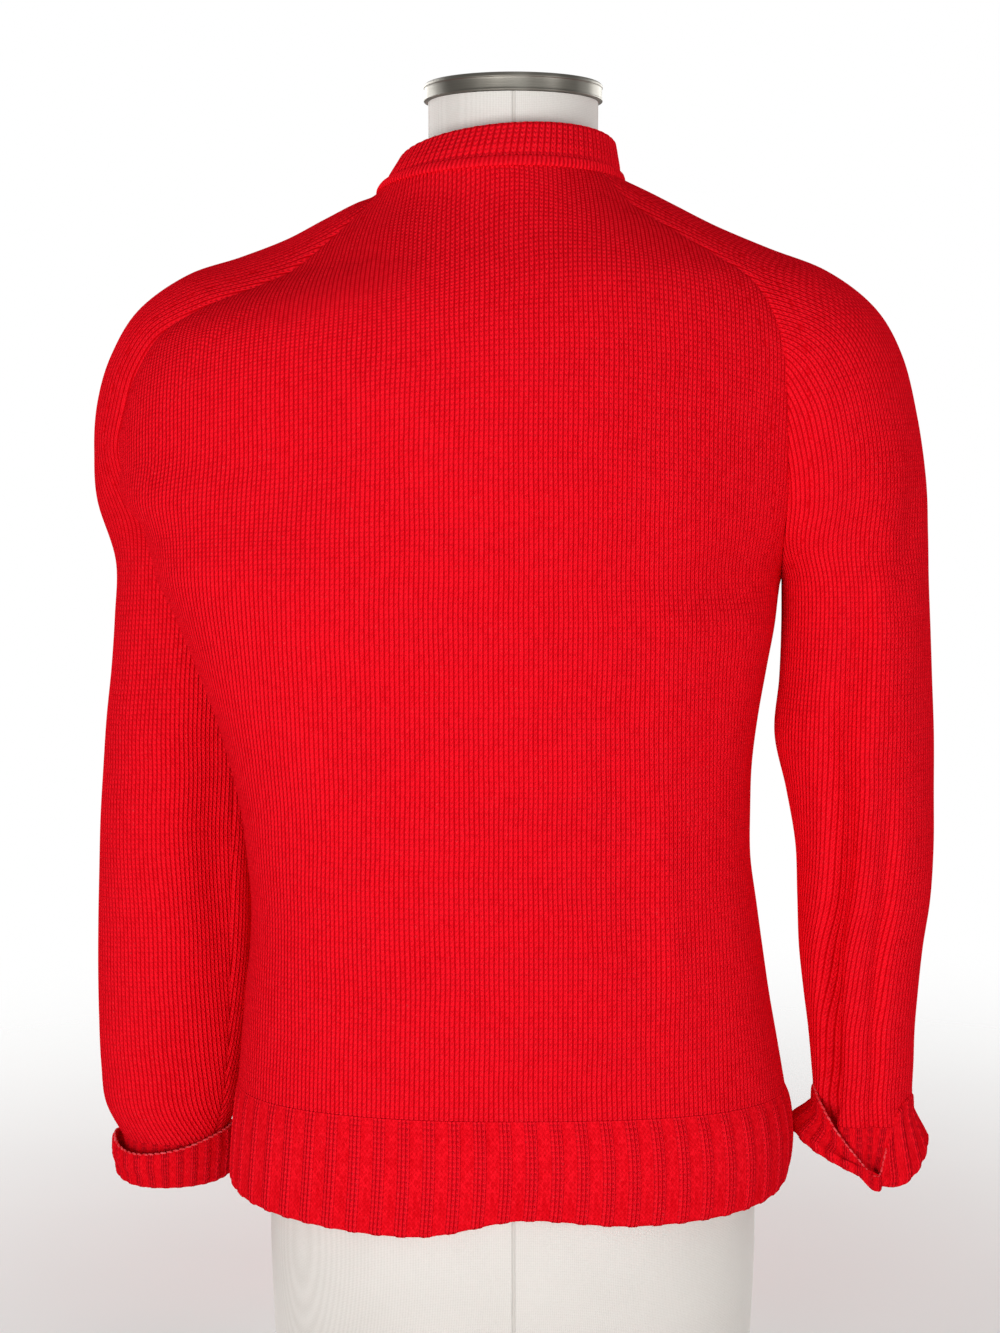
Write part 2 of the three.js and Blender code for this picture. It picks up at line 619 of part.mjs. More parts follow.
class Solid {
  constructor() {
    this.vertices = [];
    this.triangles = [];
  }

  add(p) {
    this.vertices.push(p);
    return this.vertices.length - 1;
  }

  addGrid(grid) {
    return grid.map((row) => row.map((p) => this.add(p)));
  }

  quad(a, b, c, d) {
    this.triangles.push([a, b, c], [a, c, d]);
  }

  strip(one, other) {
    for (let j = 0; j + 1 < one.length; j += 1) {
      this.quad(one[j], one[j + 1], other[j + 1], other[j]);
    }
  }

  // Joins a dense row to a sparse one whose points match every `step` points of the dense row.
  fan(dense, sparse) {
    const step = (dense.length - 1) / (sparse.length - 1);
    for (let j = 0; j + 1 < sparse.length; j += 1) {
      for (let n = 0; n < step; n += 1) {
        this.triangles.push([dense[j * step + n], dense[j * step + n + 1], sparse[j]]);
      }
      this.triangles.push([dense[(j + 1) * step], sparse[j + 1], sparse[j]]);
    }
  }

  // A mesh whose faces all point outwards.
  mesh(name, material) {
    const merged = new Map();
    const places = this.vertices.map((p) => {
      const key = [p.x, p.y, p.z].map((v) => Math.round(v * 1e4)).join(" ");
      if (!merged.has(key)) {
        merged.set(key, merged.size);
      }
      return merged.get(key);
    });
    const positions = new Float32Array(merged.size * 3);
    this.vertices.forEach((p, n) => {
      const width = 1 + SPREAD * (SPREAD_LEVEL - p.z);
      point(p.x * width, p.y, p.z).toArray(positions, places[n] * 3);
    });
    let volume = 0;
    const faces = [];
    for (const triangle of this.triangles) {
      const [a, b, c] = triangle;
      const corners = triangle.map((n) => places[n]);
      if (new Set(corners).size === 3) {
        volume += this.vertices[a].dot(this.vertices[b].clone().cross(this.vertices[c]));
        faces.push(corners);
      }
    }
    const index = faces.flatMap(([a, b, c]) => (volume > 0 ? [a, b, c] : [a, c, b]));
    const geometry = new THREE.BufferGeometry();
    geometry.setAttribute("position", new THREE.BufferAttribute(positions, 3));
    geometry.setIndex(index);
    geometry.computeVertexNormals();
    const mesh = new THREE.Mesh(geometry, material);
    mesh.name = name;
    return mesh;
  }
}

// A wall between a grid and the same grid moved in along its normals. Rows from closedFrom on are
// closed rings; the rows before them end in a rim on each side.
function wallMesh(name, material, outerGrid, normals, thickness, closedFrom) {
  const solid = new Solid();
  const innerGrid = outerGrid.map((row, i) => row.map((p, j) => (
    p.clone().addScaledVector(normals[i][j], -thickness)
  )));
  const outer = solid.addGrid(outerGrid);
  const inner = solid.addGrid(innerGrid);
  const last = outer.length - 1;
  const end = outer[0].length - 1;
  for (let i = 0; i < last; i += 1) {
    solid.strip(outer[i], outer[i + 1]);
    solid.strip(inner[i + 1], inner[i]);
    if (i < closedFrom) {
      solid.quad(outer[i + 1][0], inner[i + 1][0], inner[i][0], outer[i][0]);
      solid.quad(outer[i][end], inner[i][end], inner[i + 1][end], outer[i + 1][end]);
    }
  }
  solid.strip(inner[0], outer[0]);
  solid.strip(outer[last], inner[last]);
  return solid.mesh(name, material);
}

// ---- Ribs -------------------------------------------------------------------------------------

// Height of the rib surface over its plain wall at point n of a row: up for two, down for two.
const ribHeight = (n) => (n % POINTS_PER_RIB === 1 || n % POINTS_PER_RIB === 2 ? RIB_RELIEF : 0);

// The top, the middle and the lower edge of a hem rib.
function hemRows(bodyRow, count) {
  const top = spread(bodyRow(HEM_TOP - SEAM_GAP), count);
  const middle = spread(bodyRow((HEM_TOP + HEM_BOTTOM) / 2), count);
  const bottom = spread(bodyRow(HEM_BOTTOM), count);
  for (let n = 0; n < count; n += 1) {
    const angle = THREE.MathUtils.radToDeg(Math.atan2(bottom[n].y, bottom[n].x));
    bottom[n].z = smoothRound(HEM_EDGE, "z", angle);
    middle[n].z = (top[n].z + bottom[n].z) / 2;
  }
  return [top, middle, bottom];
}

// One face of a hem rib: its rows moved out level from the plain wall, by a height at each point.
function hemFace(bodyRow, count, heightAt) {
  const rows = hemRows(bodyRow, count);
  const normals = gridNormals(rows, rows.length, panelInside);
  const face = rows.map((row, i) => row.map((p, j) => (
    p.clone().addScaledVector(normals[i][j].setZ(0).normalize(), heightAt(j))
  )));
  openSeams(face, face.length);
  return face;
}

function hemRib(name, material, bodyRow) {
  const dense = HEM_RIBS * POINTS_PER_RIB;
  const solid = new Solid();
  const outer = solid.addGrid(hemFace(bodyRow, dense + 1, ribHeight));
  const inner = solid.addGrid(hemFace(bodyRow, HEM_RIBS + 1, () => -HEM_WALL));
  const end = outer.length - 1;
  for (let i = 0; i < end; i += 1) {
    solid.strip(outer[i], outer[i + 1]);
    solid.strip(inner[i + 1], inner[i]);
    solid.quad(outer[i + 1][0], inner[i + 1][0], inner[i][0], outer[i][0]);
    solid.quad(outer[i][dense], inner[i][HEM_RIBS], inner[i + 1][HEM_RIBS], outer[i + 1][dense]);
  }
  solid.fan([...outer[0]].reverse(), [...inner[0]].reverse());
  solid.fan(outer[end], inner[end]);
  return solid.mesh(name, material);
}

// A closed ring with a profile. pointAt gives the point of a profile row at an angle, moved out
// by a rib's height. A ribbed row has more points than a plain one.
function profiledRing(name, material, profile, ribs, pointAt) {
  const solid = new Solid();
  const dense = ribs * POINTS_PER_RIB;
  const loops = profile.map((row) => {
    const count = row.ribbed ? dense : ribs;
    const loop = [];
    for (let n = 0; n < count; n += 1) {
      loop.push(solid.add(pointAt(row, (360 * n) / count, row.ribbed ? ribHeight(n) : 0)));
    }
    loop.push(loop[0]);
    return loop;
  });
  loops.forEach((loop, i) => {
    const next = loops[(i + 1) % loops.length];
    if (loop.length === next.length) {
      solid.strip(loop, next);
    } else if (loop.length > next.length) {
      solid.fan(loop, next);
    } else {
      solid.fan([...next].reverse(), [...loop].reverse());
    }
  });
  return solid.mesh(name, material);
}

// A cuff turned back once: an inner layer going down from the sleeve's end, the fold, and an outer
// layer coming up again over the sleeve's end.
function turnedCuff(name, material, tube, cuff, mirror) {
  const sleeveEnd = tube[tube.length - 1];
  const pointAt = (row, angle, rib) => {
    const a = degrees(angle);
    const blend = (column) => THREE.MathUtils.lerp(cuff[column], sleeveEnd[column], row.share);
    const middle = (blend("outer") + blend("inner")) / 2;
    const out = row.out + row.flare * cuff.flare + rib;
    const x = middle + ((blend("outer") - blend("inner")) / 2 + out) * Math.cos(a);
    const y = blend("y") + (blend("depth") + out) * Math.sin(a);
    const foldZ = cuff.foldZ + cuff.tiltX * (x - middle) + cuff.tiltY * (y - cuff.y);
    const up = row.up + row.height * cuff.height;
    return point(mirror * x, y, THREE.MathUtils.lerp(foldZ + up, sleeveEnd.z - SEAM_GAP, row.share));
  };
  return profiledRing(name, material, CUFF_PROFILE, CUFF_RIBS, pointAt);
}

// The neckband: ribs on its outer face and over its top edge, a linking ridge round its bottom.
function neckBand(name, material) {
  const pointAt = (row, angle, rib) => {
    const bottom = neckPoint(NECK_SEAM, angle);
    const rise = neckPoint(NECK_EDGE, angle).sub(bottom);
    const a = degrees(angle);
    const along = point(-Math.sin(a) * NECK_SEAM.halfWidth, Math.cos(a) * NECK_SEAM.halfDepth, 0);
    const outward = along.cross(rise).normalize();
    const up = row.up < 0 ? rise.length() + row.up : row.up;
    return bottom.addScaledVector(rise.normalize(), up).addScaledVector(outward, row.out + rib);
  };
  return profiledRing(name, material, BAND_PROFILE, BAND_RIBS, pointAt);
}

// ---- Dress form -------------------------------------------------------------------------------

function formTorso(name, material) {
  const solid = new Solid();
  const loops = FORM.map((section) => {
    const middle = (section.back - section.front) / 2;
    const depth = (section.back + section.front) / 2;
    const rounded = (value) => Math.sign(value) * Math.pow(Math.abs(value), 2 / section.power);
    const loop = [];
    for (let n = 0; n < FORM_COLUMNS; n += 1) {
      const a = (2 * Math.PI * n) / FORM_COLUMNS;
      const x = section.width * rounded(Math.cos(a));
      loop.push(solid.add(point(x, middle + depth * rounded(Math.sin(a)), section.z)));
    }
    loop.push(loop[0]);
    return loop;
  });
  for (let i = 0; i + 1 < loops.length; i += 1) {
    solid.strip(loops[i], loops[i + 1]);
  }
  const base = solid.add(point(0, 0, 0));
  const top = solid.add(point(0, NECK_CENTRE_Y, NECK_TOP));
  const highest = loops[loops.length - 1];
  for (let n = 0; n < FORM_COLUMNS; n += 1) {
    solid.triangles.push([loops[0][n + 1], loops[0][n], base]);
    solid.triangles.push([top, highest[n], highest[n + 1]]);
  }
  return solid.mesh(name, material);
}

function neckCap(name, material) {
  const profile = [
    [0, 0],
    [CAP_RADIUS - 1, 0],
    [CAP_RADIUS, 1],
    [CAP_RADIUS, CAP_HEIGHT - 3],
    [CAP_RADIUS - 0.8, CAP_HEIGHT - 1.2],
    [CAP_RADIUS - 2.6, CAP_HEIGHT - 0.2],
    [CAP_RADIUS - 8, CAP_HEIGHT],
    [0, CAP_HEIGHT],
  ].map(([radius, height]) => new THREE.Vector2(radius, height));
  const mesh = new THREE.Mesh(new THREE.LatheGeometry(profile, CAP_COLUMNS), material);
  mesh.name = name;
  mesh.rotation.x = Math.PI / 2;
  mesh.position.set(0, NECK_CENTRE_Y, NECK_TOP + SEAM_GAP);
  return mesh;
}

// ---- Materials --------------------------------------------------------------------------------

const redKnit = new THREE.MeshStandardMaterial({ color: 0xd20514, roughness: 0.92, metalness: 0 });
redKnit.name = "red_knit";
const redRib = new THREE.MeshStandardMaterial({ color: 0xc80412, roughness: 0.92, metalness: 0 });
redRib.name = "red_rib";
const formCover = new THREE.MeshStandardMaterial({ color: 0xe6e2da, roughness: 0.75, metalness: 0 });
formCover.name = "form_cover";
const capMetal = new THREE.MeshStandardMaterial({ color: 0xb9b6b1, roughness: 0.28, metalness: 1 });
capMetal.name = "cap_metal";

// ---- Assembly ---------------------------------------------------------------------------------

const leftNeck = neckRow(STRAP.leftBack, STRAP.leftFront);
const rightNeck = neckRow(STRAP.rightBack, STRAP.rightFront);
const left = sleeveGrid(LEFT_HEAD, LEFT_TUBE, LEFT_FOLDS, 1, leftNeck, LEFT_START);
const right = sleeveGrid(RIGHT_HEAD, RIGHT_TUBE, RIGHT_FOLDS, -1, rightNeck, RIGHT_START);
const back = backPanelGrid(left, right);
const front = frontPanelGrid(left, right);

const leftNormals = gridNormals(left, HEAD_ROWS, sleeveInside);
const rightNormals = gridNormals(right, HEAD_ROWS, sleeveInside);
const backNormals = gridNormals(back, back.length, panelInside);
const frontNormals = gridNormals(front, front.length, panelInside);

// The two edges of each grid at a row: the first column and the last.
function edges(grid, normals) {
  const last = grid[0].length - 1;
  return {
    first: (row) => ({ grid, normals, row, edge: 0, next: 1 }),
    last: (row) => ({ grid, normals, row, edge: last, next: last - 1 }),
  };
}

const leftEdges = edges(left, leftNormals);
const rightEdges = edges(right, rightNormals);
const backEdges = edges(back, backNormals);
const frontEdges = edges(front, frontNormals);
for (let i = 0; i < HEAD_ROWS; i += 1) {
  shareNormals([leftEdges.first(i), backEdges.first(i)]);
  shareNormals([leftEdges.last(i), frontEdges.first(i)]);
  shareNormals([rightEdges.first(i), backEdges.last(i)]);
  shareNormals([rightEdges.last(i), frontEdges.last(i)]);
}
for (const [sleeve, side] of [[leftEdges, "first"], [rightEdges, "last"]]) {
  const pieces = [sleeve.first, sleeve.last, backEdges[side], frontEdges[side]];
  shareNormals(pieces.map((edge) => edge(HEAD_ROWS)), UNDERARM_LEAN);
}
for (let i = HEAD_ROWS + 1; i < back.length; i += 1) {
  shareNormals([backEdges.first(i), frontEdges.first(i)]);
  shareNormals([backEdges.last(i), frontEdges.last(i)]);
}
for (const normals of [leftNormals, rightNormals, backNormals, frontNormals]) {
  normals[normals.length - 1].forEach((normal) => normal.setZ(0).normalize());
}

openSeams(left, HEAD_ROWS);
openSeams(right, HEAD_ROWS);
openSeams(back, back.length);
openSeams(front, front.length);
openUnderarm(left);
openUnderarm(right);

const model = new THREE.Group();
model.add(
  wallMesh("back_panel", redKnit, back, backNormals, WALL, back.length),
  wallMesh("front_panel", redKnit, front, frontNormals, WALL, front.length),
  wallMesh("left_sleeve", redKnit, left, leftNormals, WALL, HEAD_ROWS),
  wallMesh("right_sleeve", redKnit, right, rightNormals, WALL, HEAD_ROWS),
  hemRib("back_hem_rib", redRib, bodyBackRow),
  hemRib("front_hem_rib", redRib, bodyFrontRow),
  turnedCuff("left_cuff", redRib, LEFT_TUBE, LEFT_CUFF, 1),
  turnedCuff("right_cuff", redRib, RIGHT_TUBE, RIGHT_CUFF, -1),
  neckBand("neckband", redRib),
  formTorso("form_torso", formCover),
  neckCap("form_neck_cap", capMetal),
);

export default model;
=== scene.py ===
"""Looks for a saddle-shoulder crewneck sweater that hangs on a limbless dress form.

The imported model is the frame: +Z is up, the origin is the middle of the form's flat base, the
garment's front faces -Y and the wearer's left is +X. Sizes here are in millimetres, and become
metres when a mesh is made. Every knitted piece is a wall between an outer grid of points and an
inner one. Rows of a grid run round the body or the arm; columns follow the wales of the knit.
"""

from __future__ import annotations

import logging
import math
from dataclasses import dataclass, field
from enum import Enum
from typing import Callable, Sequence

import bpy
import numpy as np
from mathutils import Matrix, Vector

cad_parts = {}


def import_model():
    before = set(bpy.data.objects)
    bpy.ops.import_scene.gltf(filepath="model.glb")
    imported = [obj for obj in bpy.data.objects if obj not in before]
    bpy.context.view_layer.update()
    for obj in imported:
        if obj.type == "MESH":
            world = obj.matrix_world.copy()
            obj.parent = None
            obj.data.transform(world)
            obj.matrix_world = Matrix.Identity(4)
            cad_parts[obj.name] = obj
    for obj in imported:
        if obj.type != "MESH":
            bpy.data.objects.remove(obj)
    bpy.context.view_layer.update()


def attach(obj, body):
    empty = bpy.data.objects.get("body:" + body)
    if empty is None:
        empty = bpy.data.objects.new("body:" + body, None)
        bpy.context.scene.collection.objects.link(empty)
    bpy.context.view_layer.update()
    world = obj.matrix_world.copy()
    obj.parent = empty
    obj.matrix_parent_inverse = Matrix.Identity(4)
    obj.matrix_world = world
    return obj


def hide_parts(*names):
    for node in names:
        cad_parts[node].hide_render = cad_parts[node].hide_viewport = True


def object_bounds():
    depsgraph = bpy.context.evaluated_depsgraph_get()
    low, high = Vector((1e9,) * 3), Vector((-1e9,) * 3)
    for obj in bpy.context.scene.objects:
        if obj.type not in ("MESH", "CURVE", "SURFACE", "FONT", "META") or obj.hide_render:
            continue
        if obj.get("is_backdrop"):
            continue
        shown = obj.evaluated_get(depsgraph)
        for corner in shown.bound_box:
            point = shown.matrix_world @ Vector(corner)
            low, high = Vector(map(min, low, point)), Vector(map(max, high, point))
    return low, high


log = logging.getLogger("sweater")

MM = 0.001
KNIT_MAP = "knit"
SEAM_MAP = "seam"

ROW_STEPS = 10  # fine rows between two rows of the tables
PANEL_SOLID_COLUMNS = 22
PANEL_COLUMNS = PANEL_SOLID_COLUMNS * 12
SLEEVE_COLUMNS = 24 * 8
INNER_STEP = 2  # the inside of a wall has one point for so many outside
CURVE_POINTS = 600  # of a curve, before its points are spread evenly
CORNER_SHARE = 0.12  # of a row, over which the underarm corner is eased
FEATHER_COLUMNS = 6  # beside an edge, over which the normals turn to the edge's own
VALLEY_LEAN = 0.6  # how far the normals of a seam lean into the cloth beside it


# ---- Tables -------------------------------------------------------------------------------------


@dataclass(frozen=True)
class Table:
    """A short table of named columns. It is read by its first column."""

    names: tuple[str, ...]
    rows: tuple[tuple[float, ...], ...]

    @classmethod
    def of(cls, names: str, *rows: tuple[float, ...]) -> "Table":
        """Makes a table from its column names and its rows."""
        return cls(tuple(names.split()), rows)

    def column(self, name: str) -> np.ndarray:
        """One column as it stands."""
        return np.array(self.rows, float)[:, self.names.index(name)]

    def at(self, name: str, where: float | np.ndarray) -> np.ndarray:
        """Reads a column along a smooth curve through its rows.

        Between two rows the curve is a cubic whose slope at each row is the rise from the row
        before to the row after, over their distance.

        Args:
            name: the column to read.
            where: places along the first column. Places outside it give the end rows.

        Returns:
            The column's values there.
        """
        order = np.argsort(self.column(self.names[0]))
        key = self.column(self.names[0])[order]
        value = self.column(name)[order]
        before = np.maximum(np.arange(len(key)) - 1, 0)
        after = np.minimum(np.arange(len(key)) + 1, len(key) - 1)
        slope = (value[after] - value[before]) / (key[after] - key[before])
        place = np.clip(where, key[0], key[-1])
        i = np.clip(np.searchsorted(key, place, side="left") - 1, 0, len(key) - 2)
        span = key[i + 1] - key[i]
        t = (place - key[i]) / span
        rise = value[i + 1] - value[i]
        bend = (1 - t) * (slope[i] * span - rise) - t * (slope[i + 1] * span - rise)
        return value[i] + rise * t + t * (1 - t) * bend

    def round_at(self, name: str, angle: np.ndarray) -> np.ndarray:
        """Reads a column of a table that closes on itself over 360 degrees.

        Args:
            name: the column to read.
            angle: degrees, of any turn.

        Returns:
            The column's values there.
        """
        shifts = (-360.0, 0.0, 360.0)
        rows = [(row[0] + shift, *row[1:]) for shift in shifts for row in self.rows]
        return Table(self.names, tuple(rows)).at(name, np.mod(angle, 360.0))


# left, left_y: the widest place on the wearer's left. seam, seam_y: the left side seam, where the
# cloth has turned in under that place. hug: how closely it follows the sleeve. corner: the round
# of the front's left end.
BODY = Table.of(
    "z left left_y seam seam_y right back front hug corner",
    (148, 186, -4, 184, -20, 181, 119, 112, 0, 0.4),
    (180, 185, -4, 183, -20, 184, 117, 112, 0, 0.4),
    (215, 182, -4, 180, -20, 179, 114, 111, 0, 0.4),
    (245, 180, -4, 177, -21, 174, 112, 110, 0, 0.4),
    (275, 178, -4, 174, -22, 169, 110, 109, 0, 0.4),
    (305, 175, -4, 171, -23, 165, 107, 108, 0, 0.4),
    (337, 174, -3, 170, -23, 161, 104, 107, 0, 0.4),
    (370, 177, -2, 171, -23, 157, 101, 107, 0, 0.4),
    (400, 181, -1, 173, -22, 157, 99, 107, 0, 0.4),
    (430, 188, 1, 175, -19, 158, 99, 108, 0.05, 0.4),
    (462, 197, 4, 177, -15, 162, 101, 110, 0.1, 0.42),
    (495, 209, 8, 179, -11, 168, 104, 113, 0.25, 0.5),
    (527, 221, 13, 181, -9, 174, 108, 116, 0.45, 0.62),
)
RIGHT_SEAM_Y = 4.0
BODY_POWER = 2.5  # of the superellipse of a level section
HEM_TOP = 215.0
HEM_BOTTOM = 148.0

# Height of the hem's lower edge by angle round the body, 0 on the left and 90 at the back.
HEM_EDGE = Table.of(
    "angle z",
    (0, 148),
    (60, 139),
    (92, 151),
    (125, 146),
    (160, 151),
    (180, 164),
    (225, 152),
    (270, 146),
    (315, 143),
)

# Back seam, crest and front seam of each row of a saddle strap and sleeve head.
HEAD_COLUMNS = "row bx by bz cx cy cz fx fy fz"
LEFT_HEAD = Table.of(
    HEAD_COLUMNS,
    (1, 104, 26, 790, 104, -16, 801, 96, -62, 782),
    (2, 122, 36, 773, 126, -12, 791, 116, -65, 770),
    (3, 143, 45, 755, 152, -12, 778, 138, -67, 755),
    (4, 168, 48, 743, 182, -14, 766, 158, -71, 742),
    (5, 200, 46, 730, 214, -18, 754, 172, -78, 722),
    (6, 230, 38, 712, 244, -26, 730, 178, -85, 696),
    (7, 247, 28, 688, 260, -34, 700, 180, -87, 668),
    (8, 257, 17, 662, 268, -42, 668, 180, -85, 640),
    (9, 261, 6, 634, 270, -54, 634, 179, -78, 612),
    (10, 246, -9, 603, 270, -62, 596, 177, -64, 586),
)
RIGHT_HEAD = Table.of(
    HEAD_COLUMNS,
    (1, 78, 50, 794, 92, 2, 806, 92, -46, 786),
    (2, 100, 55, 780, 108, 2, 798, 108, -50, 776),
    (3, 128, 59, 763, 136, 2, 784, 134, -55, 761),
    (4, 152, 62, 747, 170, 2, 770, 158, -60, 746),
    (5, 166, 66, 725, 208, 2, 756, 174, -65, 724),
    (6, 173, 68, 698, 242, 0, 731, 181, -68, 694),
    (7, 175, 67, 668, 260, 0, 700, 183, -66, 664),
    (8, 176, 63, 638, 270, 0, 660, 183, -60, 634),
    (9, 177, 55, 608, 275, 2, 620, 181, -49, 605),
    (10, 176, 40, 580, 276, 4, 584, 179, -32, 577),
)
UNDERARM = 11  # the row where a sleeve's two edges meet
CORNER_ROW = UNDERARM * ROW_STEPS  # the same among the fine rows

# The same rows across the back and the front. The ends are the round of a row's two ends.
YOKE = Table.of(
    "row back rise left_end right_end front drop front_left front_right power",
    (1, 79, 6, 1, 1, 101, 59, 1, 1, 2.2),
    (2, 88, 5, 1, 1, 104, 61, 1, 1, 2.2),
    (3, 99, 4, 1, 1, 107, 60, 1, 1, 2.2),
    (4, 107, 3, 0.9, 1, 110, 60, 1, 1, 2.2),
    (5, 113, 2, 0.8, 1, 113, 55, 1, 1, 2.2),
    (6, 117, 0, 0.65, 1, 117, 45, 1, 1, 2.2),
    (7, 119, 0, 0.55, 1, 120, 34, 1, 1, 2.25),
    (8, 119, 0, 0.5, 1, 121, 24, 1, 1, 2.3),
    (9, 117, 0, 0.45, 0.95, 121, 14, 0.85, 0.85, 2.4),
    (10, 114, 0, 0.45, 0.82, 120, 6, 0.7, 0.7, 2.45),
    (11, 111, 0, 0.42, 0.56, 118, 0, 0.85, 0.5, 2.5),
)

# The widest place on the left of the lowest yoke rows, where the back's cloth turns in under it.
LEFT_TURN = Table.of("row x y hug", (10, 257, 12, 0.75), (11, 236, 15, 0.75))
TURN_SHARE = 3 / PANEL_SOLID_COLUMNS  # of a back row's columns, on the cloth that turns in

# Level sections of the sleeves: x of the inner and the outer side, y of the middle, and half of
# the depth.
LEFT_TUBE = Table.of(
    "z inner outer y depth",
    (560, 175, 272, -50, 42),
    (525, 178, 273, -51, 43),
    (490, 179, 275, -51, 43),
    (455, 179, 278, -50, 42),
    (420, 179, 280, -49, 40),
    (385, 179, 282, -48, 39),
    (350, 179, 283, -46, 37),
    (315, 179, 284, -45, 35),
    (280, 180, 284, -43, 34),
    (245, 182, 283, -42, 33),
    (213, 185, 281, -41, 32),
    (186, 189, 277, -40, 31),
    (164, 196, 265, -40, 30),
)
RIGHT_TUBE = Table.of(
    "z inner outer y depth",
    (552, 178, 276, 5, 54),
    (520, 178, 277, 5, 54),
    (486, 177, 278, 5, 52),
    (450, 174, 279, 6, 50),
    (412, 182, 279, 6, 48),
    (375, 188, 279, 6, 45),
    (340, 189, 277, 6, 42),
    (305, 190, 272, 6, 39),
    (275, 193, 269, 6, 37),
    (250, 196, 267, 6, 35),
    (226, 198, 266, 7, 34),
    (206, 199, 265, 8, 33),
    (190, 197, 266, 9, 33),
)

# Folds of a sleeve: where their top and bottom are, by height and by angle round the arm. A
# negative depth stands out.
FOLD_COLUMNS = "top bottom angle_top angle_bottom depth width"
LEFT_FOLDS = Table.of(
    FOLD_COLUMNS,
    (470, 235, 118, 140, 6, 15),
    (560, 440, 62, 76, 3.5, 16),
    (430, 180, 265, 250, 5, 16),
)
RIGHT_FOLDS = Table.of(
    FOLD_COLUMNS,
    (590, 60, 86, 160, 17, 8),
    (450, 120, 76, 88, 6, 6),
    (520, 190, 120, 110, -2.5, 14),
    (600, 330, 30, 44, 2.5, 18),
    (640, 500, 122, 108, 4, 14),
    (655, 520, 48, 62, 3.5, 14),
    (420, 190, 262, 280, 5, 13),
)

FORM = Table.of(
    "z width back front power",
    (0, 150, 98, 94, 2.3),
    (6, 154, 101, 97, 2.3),
    (60, 158, 107, 101, 2.3),
    (120, 160, 110, 103, 2.3),
    (190, 158, 108, 102, 2.3),
    (260, 149, 99, 99, 2.3),
    (320, 140, 91, 96, 2.3),
    (380, 138, 88, 96, 2.3),
    (450, 146, 92, 100, 2.35),
    (520, 153, 97, 103, 2.4),
    (590, 160, 103, 107, 2.4),
    (640, 165, 106, 107, 2.35),
    (680, 169, 107, 102, 2.1),
    (715, 172, 104, 92, 1.9),
    (738, 172, 98, 84, 1.6),
    (753, 171, 93, 77, 1.45),
    (765, 164, 87.5, 73, 1.32),
    (777, 142.5, 80, 70, 1.2),
    (788, 116, 73, 68, 1.12),
    (797, 95, 65, 67, 1.15),
    (805, 75, 56, 66.5, 1.35),
    (812, 63, 51, 66.2, 1.65),
    (821, 58, 48.5, 66, 2.0),
    (832, 57, 48, 66, 2.0),
    (866, 57, 48, 66, 2.0),
)

# The two turned-back cuffs by angle round the arm, 0 outward and 90 at the back. fold: height of
# the folded edge. edge: height of the free, bound-off edge. lean: how far that edge stands out.
# bell: how far the fold stands out.
CUFF_COLUMNS = "angle fold edge lean bell"
LEFT_CUFF = Table.of(
    CUFF_COLUMNS,
    (0, 137, 165, 2.5, 0),
    (50, 134, 158, 3.5, 0),
    (95, 134, 161, 2.0, -1),
    (140, 135, 169, 2.0, 0),
    (180, 136, 172, 2.5, 0),
    (235, 133, 163, 3.0, 0),
    (285, 132, 160, 1.5, -1),
    (325, 134, 162, 2.5, 0),
)
RIGHT_CUFF = Table.of(
    CUFF_COLUMNS,
    (0, 170, 206, -2.0, 7),
    (20, 163, 207, -2.5, 6),
    (38, 155, 205, -3.0, 4),
    (52, 150, 197, -4.0, 1),
    (62, 149, 180, -6.0, -4),
    (70, 149, 160, -8.0, -9),
    (80, 151, 157, -7.0, -9),
    (92, 155, 162, -4.0, -5),
    (104, 159, 171, -1.0, 0),
    (122, 165, 184, 0.0, 4),
    (150, 174, 202, -1.0, 9),
    (178, 182, 210, -3.0, 12),
    (225, 176, 206, -2.0, 6),
    (270, 171, 201, -1.0, 1),
    (315, 172, 203, -2.0, 3),
)
LEFT_CUFF_SECTION = (197.0, 264.0, -40.0, 30.0)  # inner, outer, y and depth at the fold
RIGHT_CUFF_SECTION = (201.0, 261.0, 10.0, 33.0)

# A turned-back cuff's profile. share: 0 at the fold's section, 1 at the sleeve's end. out: from
# that section. up: above the fold. edge: 1 where the free edge's height is added. rib: share of
# the ribs' relief.
CUFF_PROFILE = Table.of(
    "path share out up edge rib",
    (0, 1, -2.6, 0, 0, 0),
    (1, 0.5, -2.5, 2, 0, 0),
    (2, 0, -2.3, 6, 0, 0),
    (3, 0, -1.2, 1.6, 0, 0.2),
    (4, 0, 1.2, 0, 0, 0.6),
    (5, 0, 4.0, 0.6, 0, 0.9),
    (6, 0, 5.7, 3.5, 0, 1),
    (7, 0, 6.0, 8, 0, 1),
    (8, 0, 5.6, -10, 1, 1),
    (9, 0, 5.4, -2.4, 1, 0.9),
    (10, 0, 5.0, -0.4, 1, 0.5),
    (11, 0, 3.8, 0, 1, 0.2),
    (12, 0, 2.8, -1.2, 1, 0),
    (13, 0, 2.6, -8, 1, 0),
    (14, 0, 1.8, 8, 0, 0),
    (15, 0, 0.6, 7, 0, 0),
    (16, 0.1, 0, 8, 0, 0),
    (17, 1, 0, 0, 0, 0.2),
    (18, 1, -1.2, 0.3, 0, 0),
    (19, 1, -2.6, 0, 0, 0),
)

